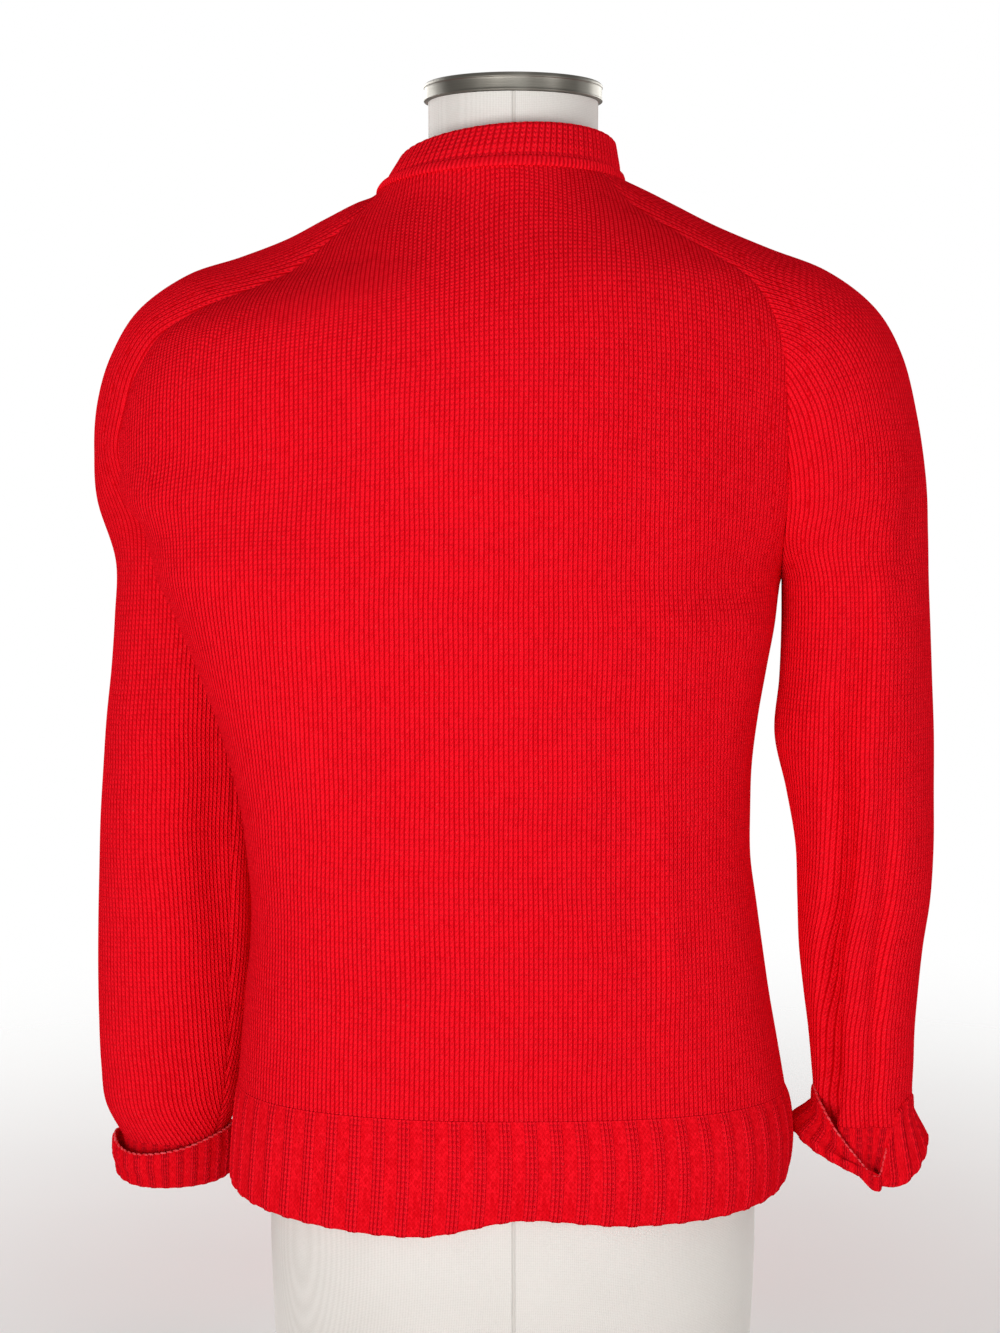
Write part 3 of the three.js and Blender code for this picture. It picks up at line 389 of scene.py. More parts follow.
# The neckband's profile. up: above the neckline seam, with top times the band's rise added. The
# first rows are the linking ridge.
BAND_PROFILE = Table.of(
    "path up top out rib",
    (0, -2.4, 0, 0.4, 0),
    (1, -2.6, 0, 1.7, 0),
    (2, -1.0, 0, 2.5, 0),
    (3, 1.4, 0, 2.5, 0),
    (4, 3.6, 0, 2.0, 0),
    (5, 4.8, 0, 0.6, 0.1),
    (6, 6.0, 0, 0, 0.7),
    (7, 11, 0, 0.2, 1),
    (8, -7, 1, 0, 1),
    (9, -3, 1, -0.1, 1),
    (10, -1, 1, -0.9, 1),
    (11, -0.2, 1, -2.3, 0.8),
    (12, -1, 1, -3.8, 0.4),
    (13, -3.5, 1, -4.7, 0),
    (14, 9, 0, -4.8, 0),
    (15, 2, 0, -4.6, 0),
    (16, 0.4, 0, -3.2, 0),
    (17, -2.4, 0, 0.4, 0),
)

# Where the straps' edges meet the neckline, in degrees from +X towards the back.
STRAP_ANGLES = {"left_front": -38.0, "left_back": 12.0, "right_back": 142.0, "right_front": 192.0}
NECK_TWIST = 13.0  # the lowest place of the neckline is turned by this angle
NECK_SCOOP = 1.7  # how sharply the neckline drops to its lowest place

WALL = 2.4  # thickness of the smooth knit
RIB_WALL = 2.8
SEAM_GAP = 0.3
HEM_RIBS = 32  # round one panel
CUFF_RIBS = 26
BAND_RIBS = 56
RIB_STEPS = 14  # points across one rib

# Garment and form widen towards their base: by this share for each millimetre under the level,
# and the other way above it.
GROWTH = 0.0000555
GROWTH_LEVEL = 568.0
FOLD_RADIUS = 42.0  # of a sleeve's section, on which the folds' widths are counted
NECK_CENTRE_Y = -9.0  # of the form's neck
NECK_TOP = 866.0


# ---- Curves -------------------------------------------------------------------------------------


def spread(line: np.ndarray, count: int) -> np.ndarray:
    """Spreads points evenly along a line of points.

    Args:
        line: points, one to a row.
        count: how many points to give back.

    Returns:
        Points at equal steps of the line's length, both ends among them.
    """
    steps = np.linalg.norm(np.diff(line, axis=0), axis=1)
    along = np.concatenate([[0.0], np.cumsum(steps)])
    wanted = np.linspace(0.0, along[-1], count)
    return np.stack([np.interp(wanted, along, line[:, axis]) for axis in range(3)], axis=1)


def ease(share: np.ndarray) -> np.ndarray:
    """A smooth step from 0 to 1: three squares less two cubes of the share."""
    t = np.clip(share, 0.0, 1.0)
    return t * t * (3 - 2 * t)


def unit(vectors: np.ndarray) -> np.ndarray:
    """Vectors over their own lengths."""
    return vectors / np.maximum(np.linalg.norm(vectors, axis=-1, keepdims=True), 1e-9)


def full_row(
    left: np.ndarray,
    right: np.ndarray,
    reach: float,
    lift: float,
    power: float,
    ends: tuple[float, float],
) -> np.ndarray:
    """A row across a panel: a superellipse from one end to the other.

    With v from -1 to 1, the row goes straight from left to right in x and z, its y swells towards
    `reach` by (1 - |v| to the power) to the end's own power, and its z rises by lift (1 - v v).

    Args:
        left: the left end.
        right: the right end.
        reach: y at the middle.
        lift: height of the middle over the line of the ends.
        power: the outline's power.
        ends: the power of the left end and of the right end.

    Returns:
        The row's points, crowded at the ends.
    """
    v = -np.cos(np.linspace(0.0, np.pi, CURVE_POINTS + 1))
    flat = np.maximum(1 - np.abs(v) ** power, 0.0)
    fullness = flat ** np.where(v < 0, ends[0], ends[1])
    row = left + (right - left) * ((v + 1) / 2)[:, None]
    row[:, 1] += (reach - (left[1] + right[1]) / 2) * fullness
    row[:, 2] += lift * (1 - v * v)
    return row


def tucked_edge(seam: np.ndarray, wide: np.ndarray, hug: float) -> np.ndarray:
    """The cloth that turns in under the widest place on the left.

    A quarter ellipse from the seam, x by the sine and y by one less the cosine. As hug goes to 1
    the two change places and it bends the other way, round the sleeve.

    Args:
        seam: the point on the seam.
        wide: the widest place.
        hug: 0 to 1.

    Returns:
        The points from the seam up to, and without, the widest place.
    """
    share = np.linspace(0.0, 1.0, CURVE_POINTS // 4, endpoint=False)
    sine, rest = np.sin(share * np.pi / 2), 1 - np.cos(share * np.pi / 2)
    outward = (1 - hug) * sine + hug * rest
    backward = (1 - hug) * rest + hug * sine
    return seam + (wide - seam) * np.stack([outward, backward, share], axis=1)


@dataclass(frozen=True)
class NeckLoop:
    """A loop round the neck. Angles are counted from +X towards the back."""

    x: float
    y: float
    half_width: float
    half_depth: float
    side: float
    back_rise: float
    front_drop: float
    tilt: float

    def at(self, angle: np.ndarray) -> np.ndarray:
        """Points of the loop.

        An ellipse in x and y. Its z is that of the sides, plus the back's rise times the sine
        towards the back, or less the front's drop times that sine to a power, less tilt times x.

        Args:
            angle: degrees.

        Returns:
            The points, one to a row.
        """
        a = np.radians(angle)
        x = self.x + self.half_width * np.cos(a)
        y = self.y + self.half_depth * np.sin(a)
        to_back = np.sin(np.radians(np.asarray(angle) + NECK_TWIST))
        rise = self.back_rise * np.maximum(to_back, 0.0)
        drop = self.front_drop * np.maximum(-to_back, 0.0) ** NECK_SCOOP
        return np.stack([x, y, self.side + rise - drop - self.tilt * x], axis=-1)

    def arc(self, start: float, end: float, count: int) -> np.ndarray:
        """Evenly spread points of the loop between two angles."""
        return spread(self.at(np.linspace(start, end, CURVE_POINTS + 1)), count)


NECK_SEAM = NeckLoop(8, -13, 81, 85, 811, 8, 72, 0.06)
NECK_EDGE = NeckLoop(3, -13, 72, 75, 835, 11, 66, 0.1)


def soft_waves(points: np.ndarray) -> np.ndarray:
    """Slow swells of the cloth: a sum of products of long sines of the place.

    Args:
        points: places in millimetres.

    Returns:
        How far each swells out, in millimetres.
    """
    x, y, z = points[..., 0], points[..., 1], points[..., 2]
    upright = np.sin(x / 29 + 0.9 * np.sin(z / 83)) * (0.5 + 0.5 * np.sin(z / 104 + 0.6))
    level = np.sin(z / 37 + 1.4 * np.sin(x / 90)) * np.sin(x / 63 + y / 44 + 1.1)
    slanting = np.sin((x + 0.7 * z) / 41 + y / 57)
    return 0.7 * upright + 0.35 * level + 0.45 * slanting


@dataclass(frozen=True)
class Crease:
    """A long soft fold of a panel between two places (x, z). A negative depth stands out."""

    top: tuple[float, float]
    bottom: tuple[float, float]
    depth: float
    width: float

    def press(self, points: np.ndarray) -> np.ndarray:
        """How deep the fold presses in: a bell across it times a half sine along it.

        Args:
            points: places in millimetres.

        Returns:
            The depth at each, in millimetres.
        """
        along = (self.top[1] - points[..., 2]) / (self.top[1] - self.bottom[1])
        middle = self.top[0] + (self.bottom[0] - self.top[0]) * along
        bell = np.exp(-(((points[..., 0] - middle) / self.width) ** 2))
        return self.depth * bell * np.sin(np.pi * np.clip(along, 0.0, 1.0))


BACK_CREASES = (
    Crease((-92, 430), (-104, 250), -2.2, 9),
    Crease((-60, 470), (-84, 280), 1.6, 14),
    Crease((150, 600), (120, 380), -2.0, 22),
    Crease((110, 700), (40, 640), -1.6, 20),
    Crease((-150, 640), (-120, 440), 1.6, 16),
)
FRONT_CREASES = (
    Crease((96, 600), (60, 400), 2.6, 18),
    Crease((-90, 580), (-70, 380), 2.4, 20),
    Crease((20, 420), (34, 250), -2.0, 24),
)


# ---- Meshes -------------------------------------------------------------------------------------


class Shell:
    """Collects grids of points and the triangles between them, and makes one closed mesh."""

    def __init__(self) -> None:
        """Starts empty."""
        self.points: list[np.ndarray] = []
        self.knit: list[np.ndarray] = []
        self.seam: list[np.ndarray] = []
        self.triangles: list[np.ndarray] = []
        self.joins: list[tuple[np.ndarray, np.ndarray]] = []
        self.count = 0

    def add(
        self, points: np.ndarray, knit: np.ndarray, seam: np.ndarray | None = None
    ) -> np.ndarray:
        """Adds a grid of points.

        Args:
            points: places in millimetres.
            knit: the two coordinates of the knit at each point.
            seam: distance from the seam and along it, or nothing.

        Returns:
            The points' numbers, in the grid's shape.
        """
        shape = points.shape[:-1]
        amount = math.prod(shape)
        self.points.append(points.reshape(-1, 3))
        self.knit.append(knit.reshape(-1, 2))
        self.seam.append(np.full((amount, 2), -1.0) if seam is None else seam.reshape(-1, 2))
        self.count += amount
        return np.arange(self.count - amount, self.count).reshape(shape)

    def join(self, kept: np.ndarray, same: np.ndarray) -> None:
        """Makes points one with others at the same place, each keeping its own coordinates."""
        self.joins.append((kept.ravel(), same.ravel()))

    def strip(self, one: np.ndarray, other: np.ndarray) -> None:
        """Two triangles between each step of one row, or of many, and of another.

        Args:
            one: the numbers of a row's points, or of many rows'.
            other: those of the row beside each.
        """
        a, b, c, d = one[..., :-1], one[..., 1:], other[..., 1:], other[..., :-1]
        self.triangles.append(np.stack([a, b, c], axis=-1).reshape(-1, 3))
        self.triangles.append(np.stack([a, c, d], axis=-1).reshape(-1, 3))

    def fan(self, dense: np.ndarray, sparse: np.ndarray) -> None:
        """Joins a dense row to one that has a point for every so many of its steps.

        Args:
            dense: the numbers of the dense row's points.
            sparse: those of the other row's.
        """
        step = (len(dense) - 1) // (len(sparse) - 1)
        starts = np.arange(len(dense) - 1)
        corner = sparse[starts // step]
        self.triangles.append(np.stack([dense[starts], dense[starts + 1], corner], axis=1))
        ends = dense[step::step]
        self.triangles.append(np.stack([ends, sparse[1:], sparse[:-1]], axis=1))

    def wall(self, outer: np.ndarray, inner: np.ndarray, last_open: tuple[int, int]) -> None:
        """The two faces of a wall and the narrow faces round it.

        Args:
            outer: the numbers of the outer grid's points.
            inner: those of the inner grid's, which may have fewer rows and columns.
            last_open: the last row of each grid whose ends are open.
        """
        row, inner_row = last_open
        self.strip(outer[:-1], outer[1:])
        self.strip(inner[1:], inner[:-1])
        self.fan(outer[: row + 1, 0], inner[: inner_row + 1, 0])
        self.fan(outer[row::-1, -1], inner[inner_row::-1, -1])
        self.fan(outer[0, ::-1], inner[0, ::-1])
        self.fan(outer[-1], inner[-1])

    def cover(self, row: np.ndarray, middle: int) -> None:
        """Closes a ring with a fan of triangles to one point."""
        centre = np.full(len(row) - 1, middle)
        self.triangles.append(np.stack([row[:-1], row[1:], centre], axis=1))

    def build(self, name: str, sharp: float = 55.0, growth: float = GROWTH) -> bpy.types.Object:
        """Makes the mesh, with its faces outward.

        Args:
            name: the piece's name.
            sharp: the angle in degrees from which an edge isn't shaded smooth.
            growth: the share by which it widens for each millimetre under the level.

        Returns:
            The new object, at the origin.
        """
        points = np.concatenate(self.points)
        width = 1 + growth * (GROWTH_LEVEL - points[:, 2:])
        points = points * np.concatenate([width, np.ones((len(points), 2))], axis=1) * MM
        same = np.arange(self.count)
        for kept, other in self.joins:
            same[other] = same[kept]
        used, vertex = np.unique(same, return_inverse=True)
        corners = np.concatenate(self.triangles)
        faces = vertex[corners]
        first, second, third = faces.T
        whole = (first != second) & (second != third) & (third != first)
        corners, faces = corners[whole], faces[whole]
        places = points[used]
        a, b, c = places[faces[:, 0]], places[faces[:, 1]], places[faces[:, 2]]
        if (a * np.cross(b, c)).sum() < 0:
            corners, faces = corners[:, ::-1], faces[:, ::-1]
        mesh = bpy.data.meshes.new(name)
        mesh.vertices.add(len(places))
        mesh.vertices.foreach_set("co", places.astype(np.float32).ravel())
        mesh.loops.add(faces.size)
        mesh.loops.foreach_set("vertex_index", np.ascontiguousarray(faces, np.int32).ravel())
        mesh.polygons.add(len(faces))
        mesh.polygons.foreach_set("loop_start", np.arange(0, faces.size, 3, dtype=np.int32))
        mesh.update(calc_edges=True)
        for layer, values in ((KNIT_MAP, self.knit), (SEAM_MAP, self.seam)):
            flat = np.concatenate(values)[corners.ravel()].astype(np.float32)
            mesh.uv_layers.new(name=layer).data.foreach_set("uv", flat.ravel())
        mesh.polygons.foreach_set("use_smooth", np.ones(len(faces), bool))
        mesh.set_sharp_from_angle(angle=math.radians(sharp))
        mesh.validate()
        made = bpy.data.objects.new(name, mesh)
        bpy.context.scene.collection.objects.link(made)
        return made


def ring_mesh(name: str, points: np.ndarray, knit: np.ndarray) -> bpy.types.Object:
    """A tube that closes both ways.

    Args:
        name: the piece's name.
        points: rows of the profile by columns round the ring, last row and column repeated.
        knit: the knit's coordinates at each.

    Returns:
        The object.
    """
    shell = Shell()
    ids = shell.add(points, knit)
    shell.join(ids[:, 0], ids[:, -1])
    shell.join(ids[0, :-1], ids[-1, :-1])
    shell.join(ids[0, :1], ids[-1, -1:])
    shell.strip(ids[:-1], ids[1:])
    return shell.build(name)


# ---- Cloth grids --------------------------------------------------------------------------------


def refine_rows(rows: np.ndarray, stations: np.ndarray) -> np.ndarray:
    """Puts smooth rows between the rows of a grid.

    Each column becomes a curve of cubics through the rows. The slope at a row is that of both its
    neighbours, weighted by nearness. At the underarm row the slope near both edges is one-sided,
    because the seams turn a corner there.

    Args:
        rows: the grid, rows by columns.
        stations: each row's distance along the cloth.

    Returns:
        The finer grid.
    """
    gap = np.diff(stations)[:, None, None]
    slope = np.diff(rows, axis=0) / gap
    inner = (slope[:-1] * gap[1:] + slope[1:] * gap[:-1]) / (gap[1:] + gap[:-1])
    tangent = np.concatenate([slope[:1], inner, slope[-1:]])
    count = rows.shape[1]
    from_edge = np.minimum(np.arange(count), np.arange(count)[::-1]) / count
    near = ease(1 - from_edge / CORNER_SHARE)[:, None]
    arriving, leaving = tangent.copy(), tangent.copy()
    arriving[UNDERARM] += near * (slope[UNDERARM - 1] - tangent[UNDERARM])
    leaving[UNDERARM] += near * (slope[UNDERARM] - tangent[UNDERARM])
    t = (np.arange(ROW_STEPS) / ROW_STEPS)[None, :, None, None]
    fine = (1 + 2 * t) * (1 - t) ** 2 * rows[:-1, None]
    fine = fine + t * (1 - t) ** 2 * (gap * leaving[:-1])[:, None]
    fine = fine + t * t * (3 - 2 * t) * rows[1:, None]
    fine = fine - t * t * (1 - t) * (gap * arriving[1:])[:, None]
    return np.concatenate([fine.reshape(-1, count, 3), rows[-1:]])


class Cloth:
    """A fine grid of points on a piece's outer face, with its normals and its knit."""

    def __init__(self, points: np.ndarray, inside: np.ndarray, closed: bool) -> None:
        """Measures a grid.

        Args:
            points: rows by columns, in millimetres.
            inside: points that the rows' normals point away from.
            closed: whether the rows meet from the underarm down.
        """
        self.points = points
        self.closed_from = CORNER_ROW if closed else len(points)
        across = np.gradient(points, axis=1)
        down = np.gradient(points, axis=0)
        ring = (points[self.closed_from :, 1] - points[self.closed_from :, -2]) / 2
        across[self.closed_from :, 0] = ring
        across[self.closed_from :, -1] = ring
        normals = unit(np.cross(across, down))
        self.normals = normals * np.sign((normals * (points - inside)).sum())
        steps = np.linalg.norm(np.diff(points[..., :2], axis=1), axis=2)
        along_steps = np.linalg.norm(np.diff(points, axis=1), axis=2)
        zero = np.zeros((len(points), 1))
        self.course = np.concatenate([zero, np.cumsum(steps, axis=1)], axis=1)
        line = np.concatenate([zero, np.cumsum(along_steps, axis=1)], axis=1)
        self.from_seam = np.minimum(line, line[:, -1:] - line)
        rises = np.linalg.norm(np.diff(points, axis=0), axis=2)
        upward = np.cumsum(rises[::-1], axis=0)[::-1]
        self.height = np.concatenate([upward, np.zeros((1, points.shape[1]))])

    def knit(self, middle: np.ndarray) -> np.ndarray:
        """The knit's coordinates in metres.

        Across the wales it is the level distance from the row's middle, and along them the
        distance from the lower end of the column.

        Args:
            middle: for each row, the level distance of its middle from its first point.

        Returns:
            Two numbers for each point.
        """
        return np.stack([self.course - middle[:, None], self.height], axis=-1) * MM

    def seam(self) -> np.ndarray:
        """Distance from the nearest armhole seam and along it, -1 below the underarm.

        Returns:
            Two numbers in metres for each point.
        """
        above = np.arange(len(self.points))[:, None] < CORNER_ROW
        first = np.arange(self.points.shape[1])[None] < self.points.shape[1] / 2
        along = np.where(first, self.height[:, :1], self.height[:, -1:])
        marked = np.stack([self.from_seam, along], axis=-1) * MM
        return np.where(above[..., None], marked, -1.0)

    def move(self, distance: np.ndarray) -> None:
        """Moves the points out along their normals."""
        self.points = self.points + self.normals * distance[..., None]

    def feather(self) -> None:
        """Turns the normals next to an open edge smoothly towards the edge's own."""
        for edge, way in ((0, 1), (-1, -1)):
            own = self.normals[: self.closed_from, edge]
            for step in range(1, FEATHER_COLUMNS):
                share = float(ease(np.array(step / FEATHER_COLUMNS)))
                row = self.normals[: self.closed_from, edge + way * step]
                self.normals[: self.closed_from, edge + way * step] = unit(
                    own * (1 - share) + row * share
                )

    def wall(
        self, name: str, knit: np.ndarray, thickness: float, sparse: int = INNER_STEP
    ) -> bpy.types.Object:
        """The wall between the grid and the same grid moved in along its normals.

        Args:
            name: the piece's name.
            knit: the knit's coordinates.
            thickness: the wall's.
            sparse: the inside has one row and one column for so many outside.

        Returns:
            The object.
        """
        shell = Shell()
        seam = self.seam()
        inner_points = (self.points - self.normals * thickness)[::sparse, ::sparse]
        outer = shell.add(self.points, knit, seam)
        inner = shell.add(inner_points, knit[::sparse, ::sparse], seam[::sparse, ::sparse])
        open_outer = self.closed_from if self.closed_from < len(self.points) else len(outer) - 1
        open_inner = open_outer // sparse
        for ids, limit in ((outer, open_outer), (inner, open_inner)):
            if limit < len(ids) - 1:
                shell.join(ids[limit:, 0], ids[limit:, -1])
        shell.wall(outer, inner, (open_outer, open_inner))
        return shell.build(name)


@dataclass(frozen=True)
class Edge:
    """One edge of a cloth grid: its first column, 0, or its last, -1."""

    cloth: Cloth
    column: int

    def into(self, rows: slice) -> np.ndarray:
        """Unit vectors from the edge into the cloth.

        Args:
            rows: the rows to give.

        Returns:
            One vector for each row.
        """
        inward = 1 if self.column == 0 else -2
        points = self.cloth.points
        return unit(points[rows, inward] - points[rows, self.column])


def share_normals(
    edges: Sequence[Edge], rows: slice, lean: tuple[float, float, float] = (0.0, 0.0, 0.0)
) -> None:
    """Gives the edges that meet at a seam the same normals.

    The sum of the edges' normals, each with a share of the way into its cloth, which leans the
    normal of a valley into its open side.

    Args:
        edges: the edges that meet.
        rows: the rows where they meet.
        lean: what is added where a valley ends.
    """
    common = sum(
        edge.cloth.normals[rows, edge.column] + VALLEY_LEAN * edge.into(rows) for edge in edges
    )
    common = unit(common + np.array(lean))
    for edge in edges:
        edge.cloth.normals[rows, edge.column] = common


# ---- Shader expressions -------------------------------------------------------------------------


@dataclass(frozen=True)
class Sock:
    """A socket of a shader that is used like a number. Each operation adds a Math node."""

    graph: "Graph"
    socket: bpy.types.NodeSocket

    def __add__(self, other: Value) -> "Sock":
        """Sum."""
        return self.graph.math("ADD", self, other)

    def __radd__(self, other: float) -> "Sock":
        """Sum, from the right."""
        return self.graph.math("ADD", other, self)

    def __sub__(self, other: Value) -> "Sock":
        """Difference."""
        return self.graph.math("SUBTRACT", self, other)

    def __rsub__(self, other: float) -> "Sock":
        """Difference, from the right."""
        return self.graph.math("SUBTRACT", other, self)

    def __mul__(self, other: Value) -> "Sock":
        """Product."""
        return self.graph.math("MULTIPLY", self, other)

    def __rmul__(self, other: float) -> "Sock":
        """Product, from the right."""
        return self.graph.math("MULTIPLY", other, self)

    def __truediv__(self, other: Value) -> "Sock":
        """Quotient."""
        return self.graph.math("DIVIDE", self, other)

    def __abs__(self) -> "Sock":
        """Size without sign."""
        return self.graph.math("ABSOLUTE", self)

    def __pow__(self, power: float) -> "Sock":
        """Power."""
        return self.graph.math("POWER", self, power)

    def fraction(self) -> "Sock":
        """What is left over a whole number."""
        return self.graph.math("FRACT", self)

    def floor(self) -> "Sock":
        """The whole number below."""
        return self.graph.math("FLOOR", self)

    def swing(self) -> "Sock":
        """1 at each whole number and 0 half way between: half of 1 plus the cosine of a turn."""
        return self.graph.math("COSINE", self * math.tau) * 0.5 + 0.5

    def step(self, low: float, high: float) -> "Sock":
        """A smooth step from 0 to 1.

        Args:
            low: where it leaves 0.
            high: where it reaches 1.

        Returns:
            The step.
        """
        settings = {"interpolation_type": "SMOOTHSTEP"}
        inputs = {"Value": self, "From Min": low, "From Max": high}
        return self.graph.sock("ShaderNodeMapRange", settings, inputs)

    def between(self, low: float, high: float, soft: float) -> "Sock":
        """1 between two values and 0 outside them, with soft sides."""
        return self.step(low - soft, low + soft) * (1 - self.step(high - soft, high + soft))


Value = Sock | float


class Graph:
    """The nodes of one shader tree."""

    def __init__(self, tree: bpy.types.NodeTree) -> None:
        """Takes the tree that the nodes go into."""
        self.tree = tree

    def node(
        self, kind: str, settings: dict[str, object] | None = None, inputs: dict | None = None
    ) -> bpy.types.Node:
        """Adds a node.

        Args:
            kind: the node's type.
            settings: its own settings, which are set first.
            inputs: the values or links of its sockets, by name or number.

        Returns:
            The node.
        """
        made = self.tree.nodes.new(kind)
        for name, value in (settings or {}).items():
            setattr(made, name, value)
        for name, value in (inputs or {}).items():
            self.feed(made.inputs[name], value)
        return made

    def feed(self, target: bpy.types.NodeSocket, value: object) -> None:
        """Links a socket, or sets its value.

        Args:
            target: the socket to feed.
            value: another socket, or a plain value.
        """
        if isinstance(value, Sock):
            self.tree.links.new(value.socket, target)
        else:
            target.default_value = value

    def sock(
        self,
        kind: str,
        settings: dict[str, object] | None = None,
        inputs: dict | None = None,
        output: int | str = 0,
    ) -> Sock:
        """Adds a node and gives one of its outputs."""
        return Sock(self, self.node(kind, settings, inputs).outputs[output])

    def math(self, operation: str, one: Value, other: Value = 0.0) -> Sock:
        """A Math node."""
        return self.sock("ShaderNodeMath", {"operation": operation}, {0: one, 1: other})

    def lesser(self, one: Value, other: Value) -> Sock:
        """The lesser of two values."""
        return self.math("MINIMUM", one, other)

    def blend(self, share: Value, one: object, other: object) -> Sock:
        """A mix of two colours.

        Args:
            share: 0 for one colour to 1 for the other.
            one: a colour, or a socket that gives it.
            other: the other.

        Returns:
            The mixed colour.
        """
        inputs = {0: share, 6: one, 7: other}
        return self.sock("ShaderNodeMix", {"data_type": "RGBA"}, inputs, output=2)

    def vector(self, x: Value, y: Value, z: Value = 0.0) -> Sock:
        """A vector of three values."""
        return self.sock("ShaderNodeCombineXYZ", None, {0: x, 1: y, 2: z})

    def place(self) -> Sock:
        """Object coordinates."""
        return self.sock("ShaderNodeTexCoord", output="Object")

    def parts(self, vector: Sock) -> tuple[Sock, Sock, Sock]:
        """The three values of a vector."""
        split = self.node("ShaderNodeSeparateXYZ", None, {0: vector})
        return tuple(Sock(self, split.outputs[n]) for n in range(3))

    def map(self, name: str) -> tuple[Sock, Sock]:
        """The two values of a UV map."""
        u, v, _ = self.parts(self.sock("ShaderNodeUVMap", {"uv_map": name}))
        return u, v

    def noise(self, where: Sock, scale: float, detail: float = 2.0) -> Sock:
        """Noise from 0 to 1, scale to the metre."""
        inputs = {"Vector": where, "Scale": scale, "Detail": detail, "Roughness": 0.6}
        return self.sock("ShaderNodeTexNoise", None, inputs)

    def chance(self, x: Sock, y: Sock) -> Sock:
        """An even random number for each pair of whole numbers."""
        settings = {"noise_dimensions": "2D"}
        return self.sock("ShaderNodeTexWhiteNoise", settings, {"Vector": self.vector(x, y)})


class FinishGraph(Graph):
    """The nodes of one material, round its Principled shader."""

    def __init__(self, name: str) -> None:
        """Makes the material.

        Args:
            name: its name.
        """
        self.material = bpy.data.materials.new(name)
        self.material.use_nodes = True
        super().__init__(self.material.node_tree)
        self.shader = self.tree.nodes["Principled BSDF"]

    def finish(
        self, colour: object, height: Sock | None, depth: float, **sockets: object
    ) -> bpy.types.Material:
        """Connects the shader.

        Args:
            colour: the base colour.
            height: 0 to 1, for the bump.
            depth: what 1 of height is, in metres.
            sockets: values or links of other sockets, named with underlines for spaces.

        Returns:
            The material.
        """
        self.feed(self.shader.inputs["Base Color"], colour)
        if height is not None:
            inputs = {"Height": height, "Distance": depth, "Strength": 1.0}
            bump = self.sock("ShaderNodeBump", None, inputs, output="Normal")
            self.feed(self.shader.inputs["Normal"], bump)
        for name, value in sockets.items():
            self.feed(self.shader.inputs[name.replace("_", " ")], value)
        return self.material


# ---- Finishes -----------------------------------------------------------------------------------


Colour = tuple[float, float, float, float]


@dataclass(frozen=True)
class Yarn:
    """The colours of the wool: deep for the painted shade between the stitches, face for their lit
    tops, and a painted sheen on raised fibres.
    """

    # Painted shade: deep stands for the shade between the stitches, face for their lit tops.
    deep: Colour = (0.5, 0.0002, 0.0015, 1.0)
    face: Colour = (0.98, 0.008, 0.02, 1.0)
    # Painted sheen: light caught on raised fibres, painted in a pale colour.
    fibre_sheen: Colour = (1.0, 0.085, 0.105, 1.0)
    roughness: float = 0.93

    def dress(
        self, graph: FinishGraph, height: Sock, tone: Sock, depth: float
    ) -> bpy.types.Material:
        """Colours a knit by the height of its stitches, with painted shade and a painted sheen.

        Args:
            graph: the material's nodes.
            height: 0 between the stitches to 1 on them.
            tone: a random number for each stitch.
            depth: the relief in metres.

        Returns:
            The material.
        """
        place = graph.place()
        broad = graph.noise(place, 28.0)
        fibre = graph.noise(place, 1500.0, 3.0)
        hair = graph.noise(place, 620.0, 4.0)
        lit = height * (tone * 0.7 + 0.8) + (broad - 0.5) * 0.14 + (fibre - 0.5) * 0.25
        # Painted shade: low places of the knit take the deep colour, high ones the lit face.
        colour = graph.blend(lit.step(-0.12, 0.62), self.deep, self.face)
        # Painted sheen on raised fibres, strongest on the stitches' tops.
        colour = graph.blend(hair.step(0.58, 0.76) * height * 0.5, colour, self.fibre_sheen)
        relief = height + (fibre - 0.5) * 0.22 + (hair - 0.5) * 0.18
        return graph.finish(
            colour, relief, depth, Roughness=self.roughness, Specular_IOR_Level=0.0
        )


LEG_SLANT = 0.6  # of a course, from the middle of a wale to its edge
LEG_SWELL = 0.62  # of its height, by which a leg swells in each course
# The right leg's lower height also paints it darker: painted shade, as from light on one side.
RIGHT_LEG_DROP_AND_SHADE = 0.35  # of its height, by which a stitch's right leg lies lower


def stitches(graph: Graph, wales: Sock, courses: Sock) -> tuple[Sock, Sock]:
    """Smooth-faced knit: a rounded column to a wale, with two slanting legs to a stitch.

    With a from 0 at the middle of a wale to 1 at its edge, the column is 1 less a smooth step of
    a, and a faint furrow runs down its middle. Each leg swells once a course, later by the slant
    times a, so that the two legs make a V, and the right leg lies lower, which also gives it
    painted shade in the colour.

    Args:
        graph: the material's nodes.
        wales: the place across, counted in wales.
        courses: the place along, counted in courses.

    Returns:
        The height and a random number for each leg.
    """
    across = abs(wales.fraction() - 0.5) * 2
    column = 1 - across.step(0.45, 1.0)
    furrow = across.step(0.0, 0.35) * 0.25 + 0.75
    phase = courses - across * LEG_SLANT
    bead = phase.swing() * LEG_SWELL + (1 - LEG_SWELL)
    # Painted shade on each stitch's right leg, which also lowers its bump.
    lower = 1 - (wales.fraction() - 0.5).step(-0.08, 0.08) * RIGHT_LEG_DROP_AND_SHADE
    return column * furrow * bead * lower, graph.chance(wales.floor(), (phase + 0.5).floor())


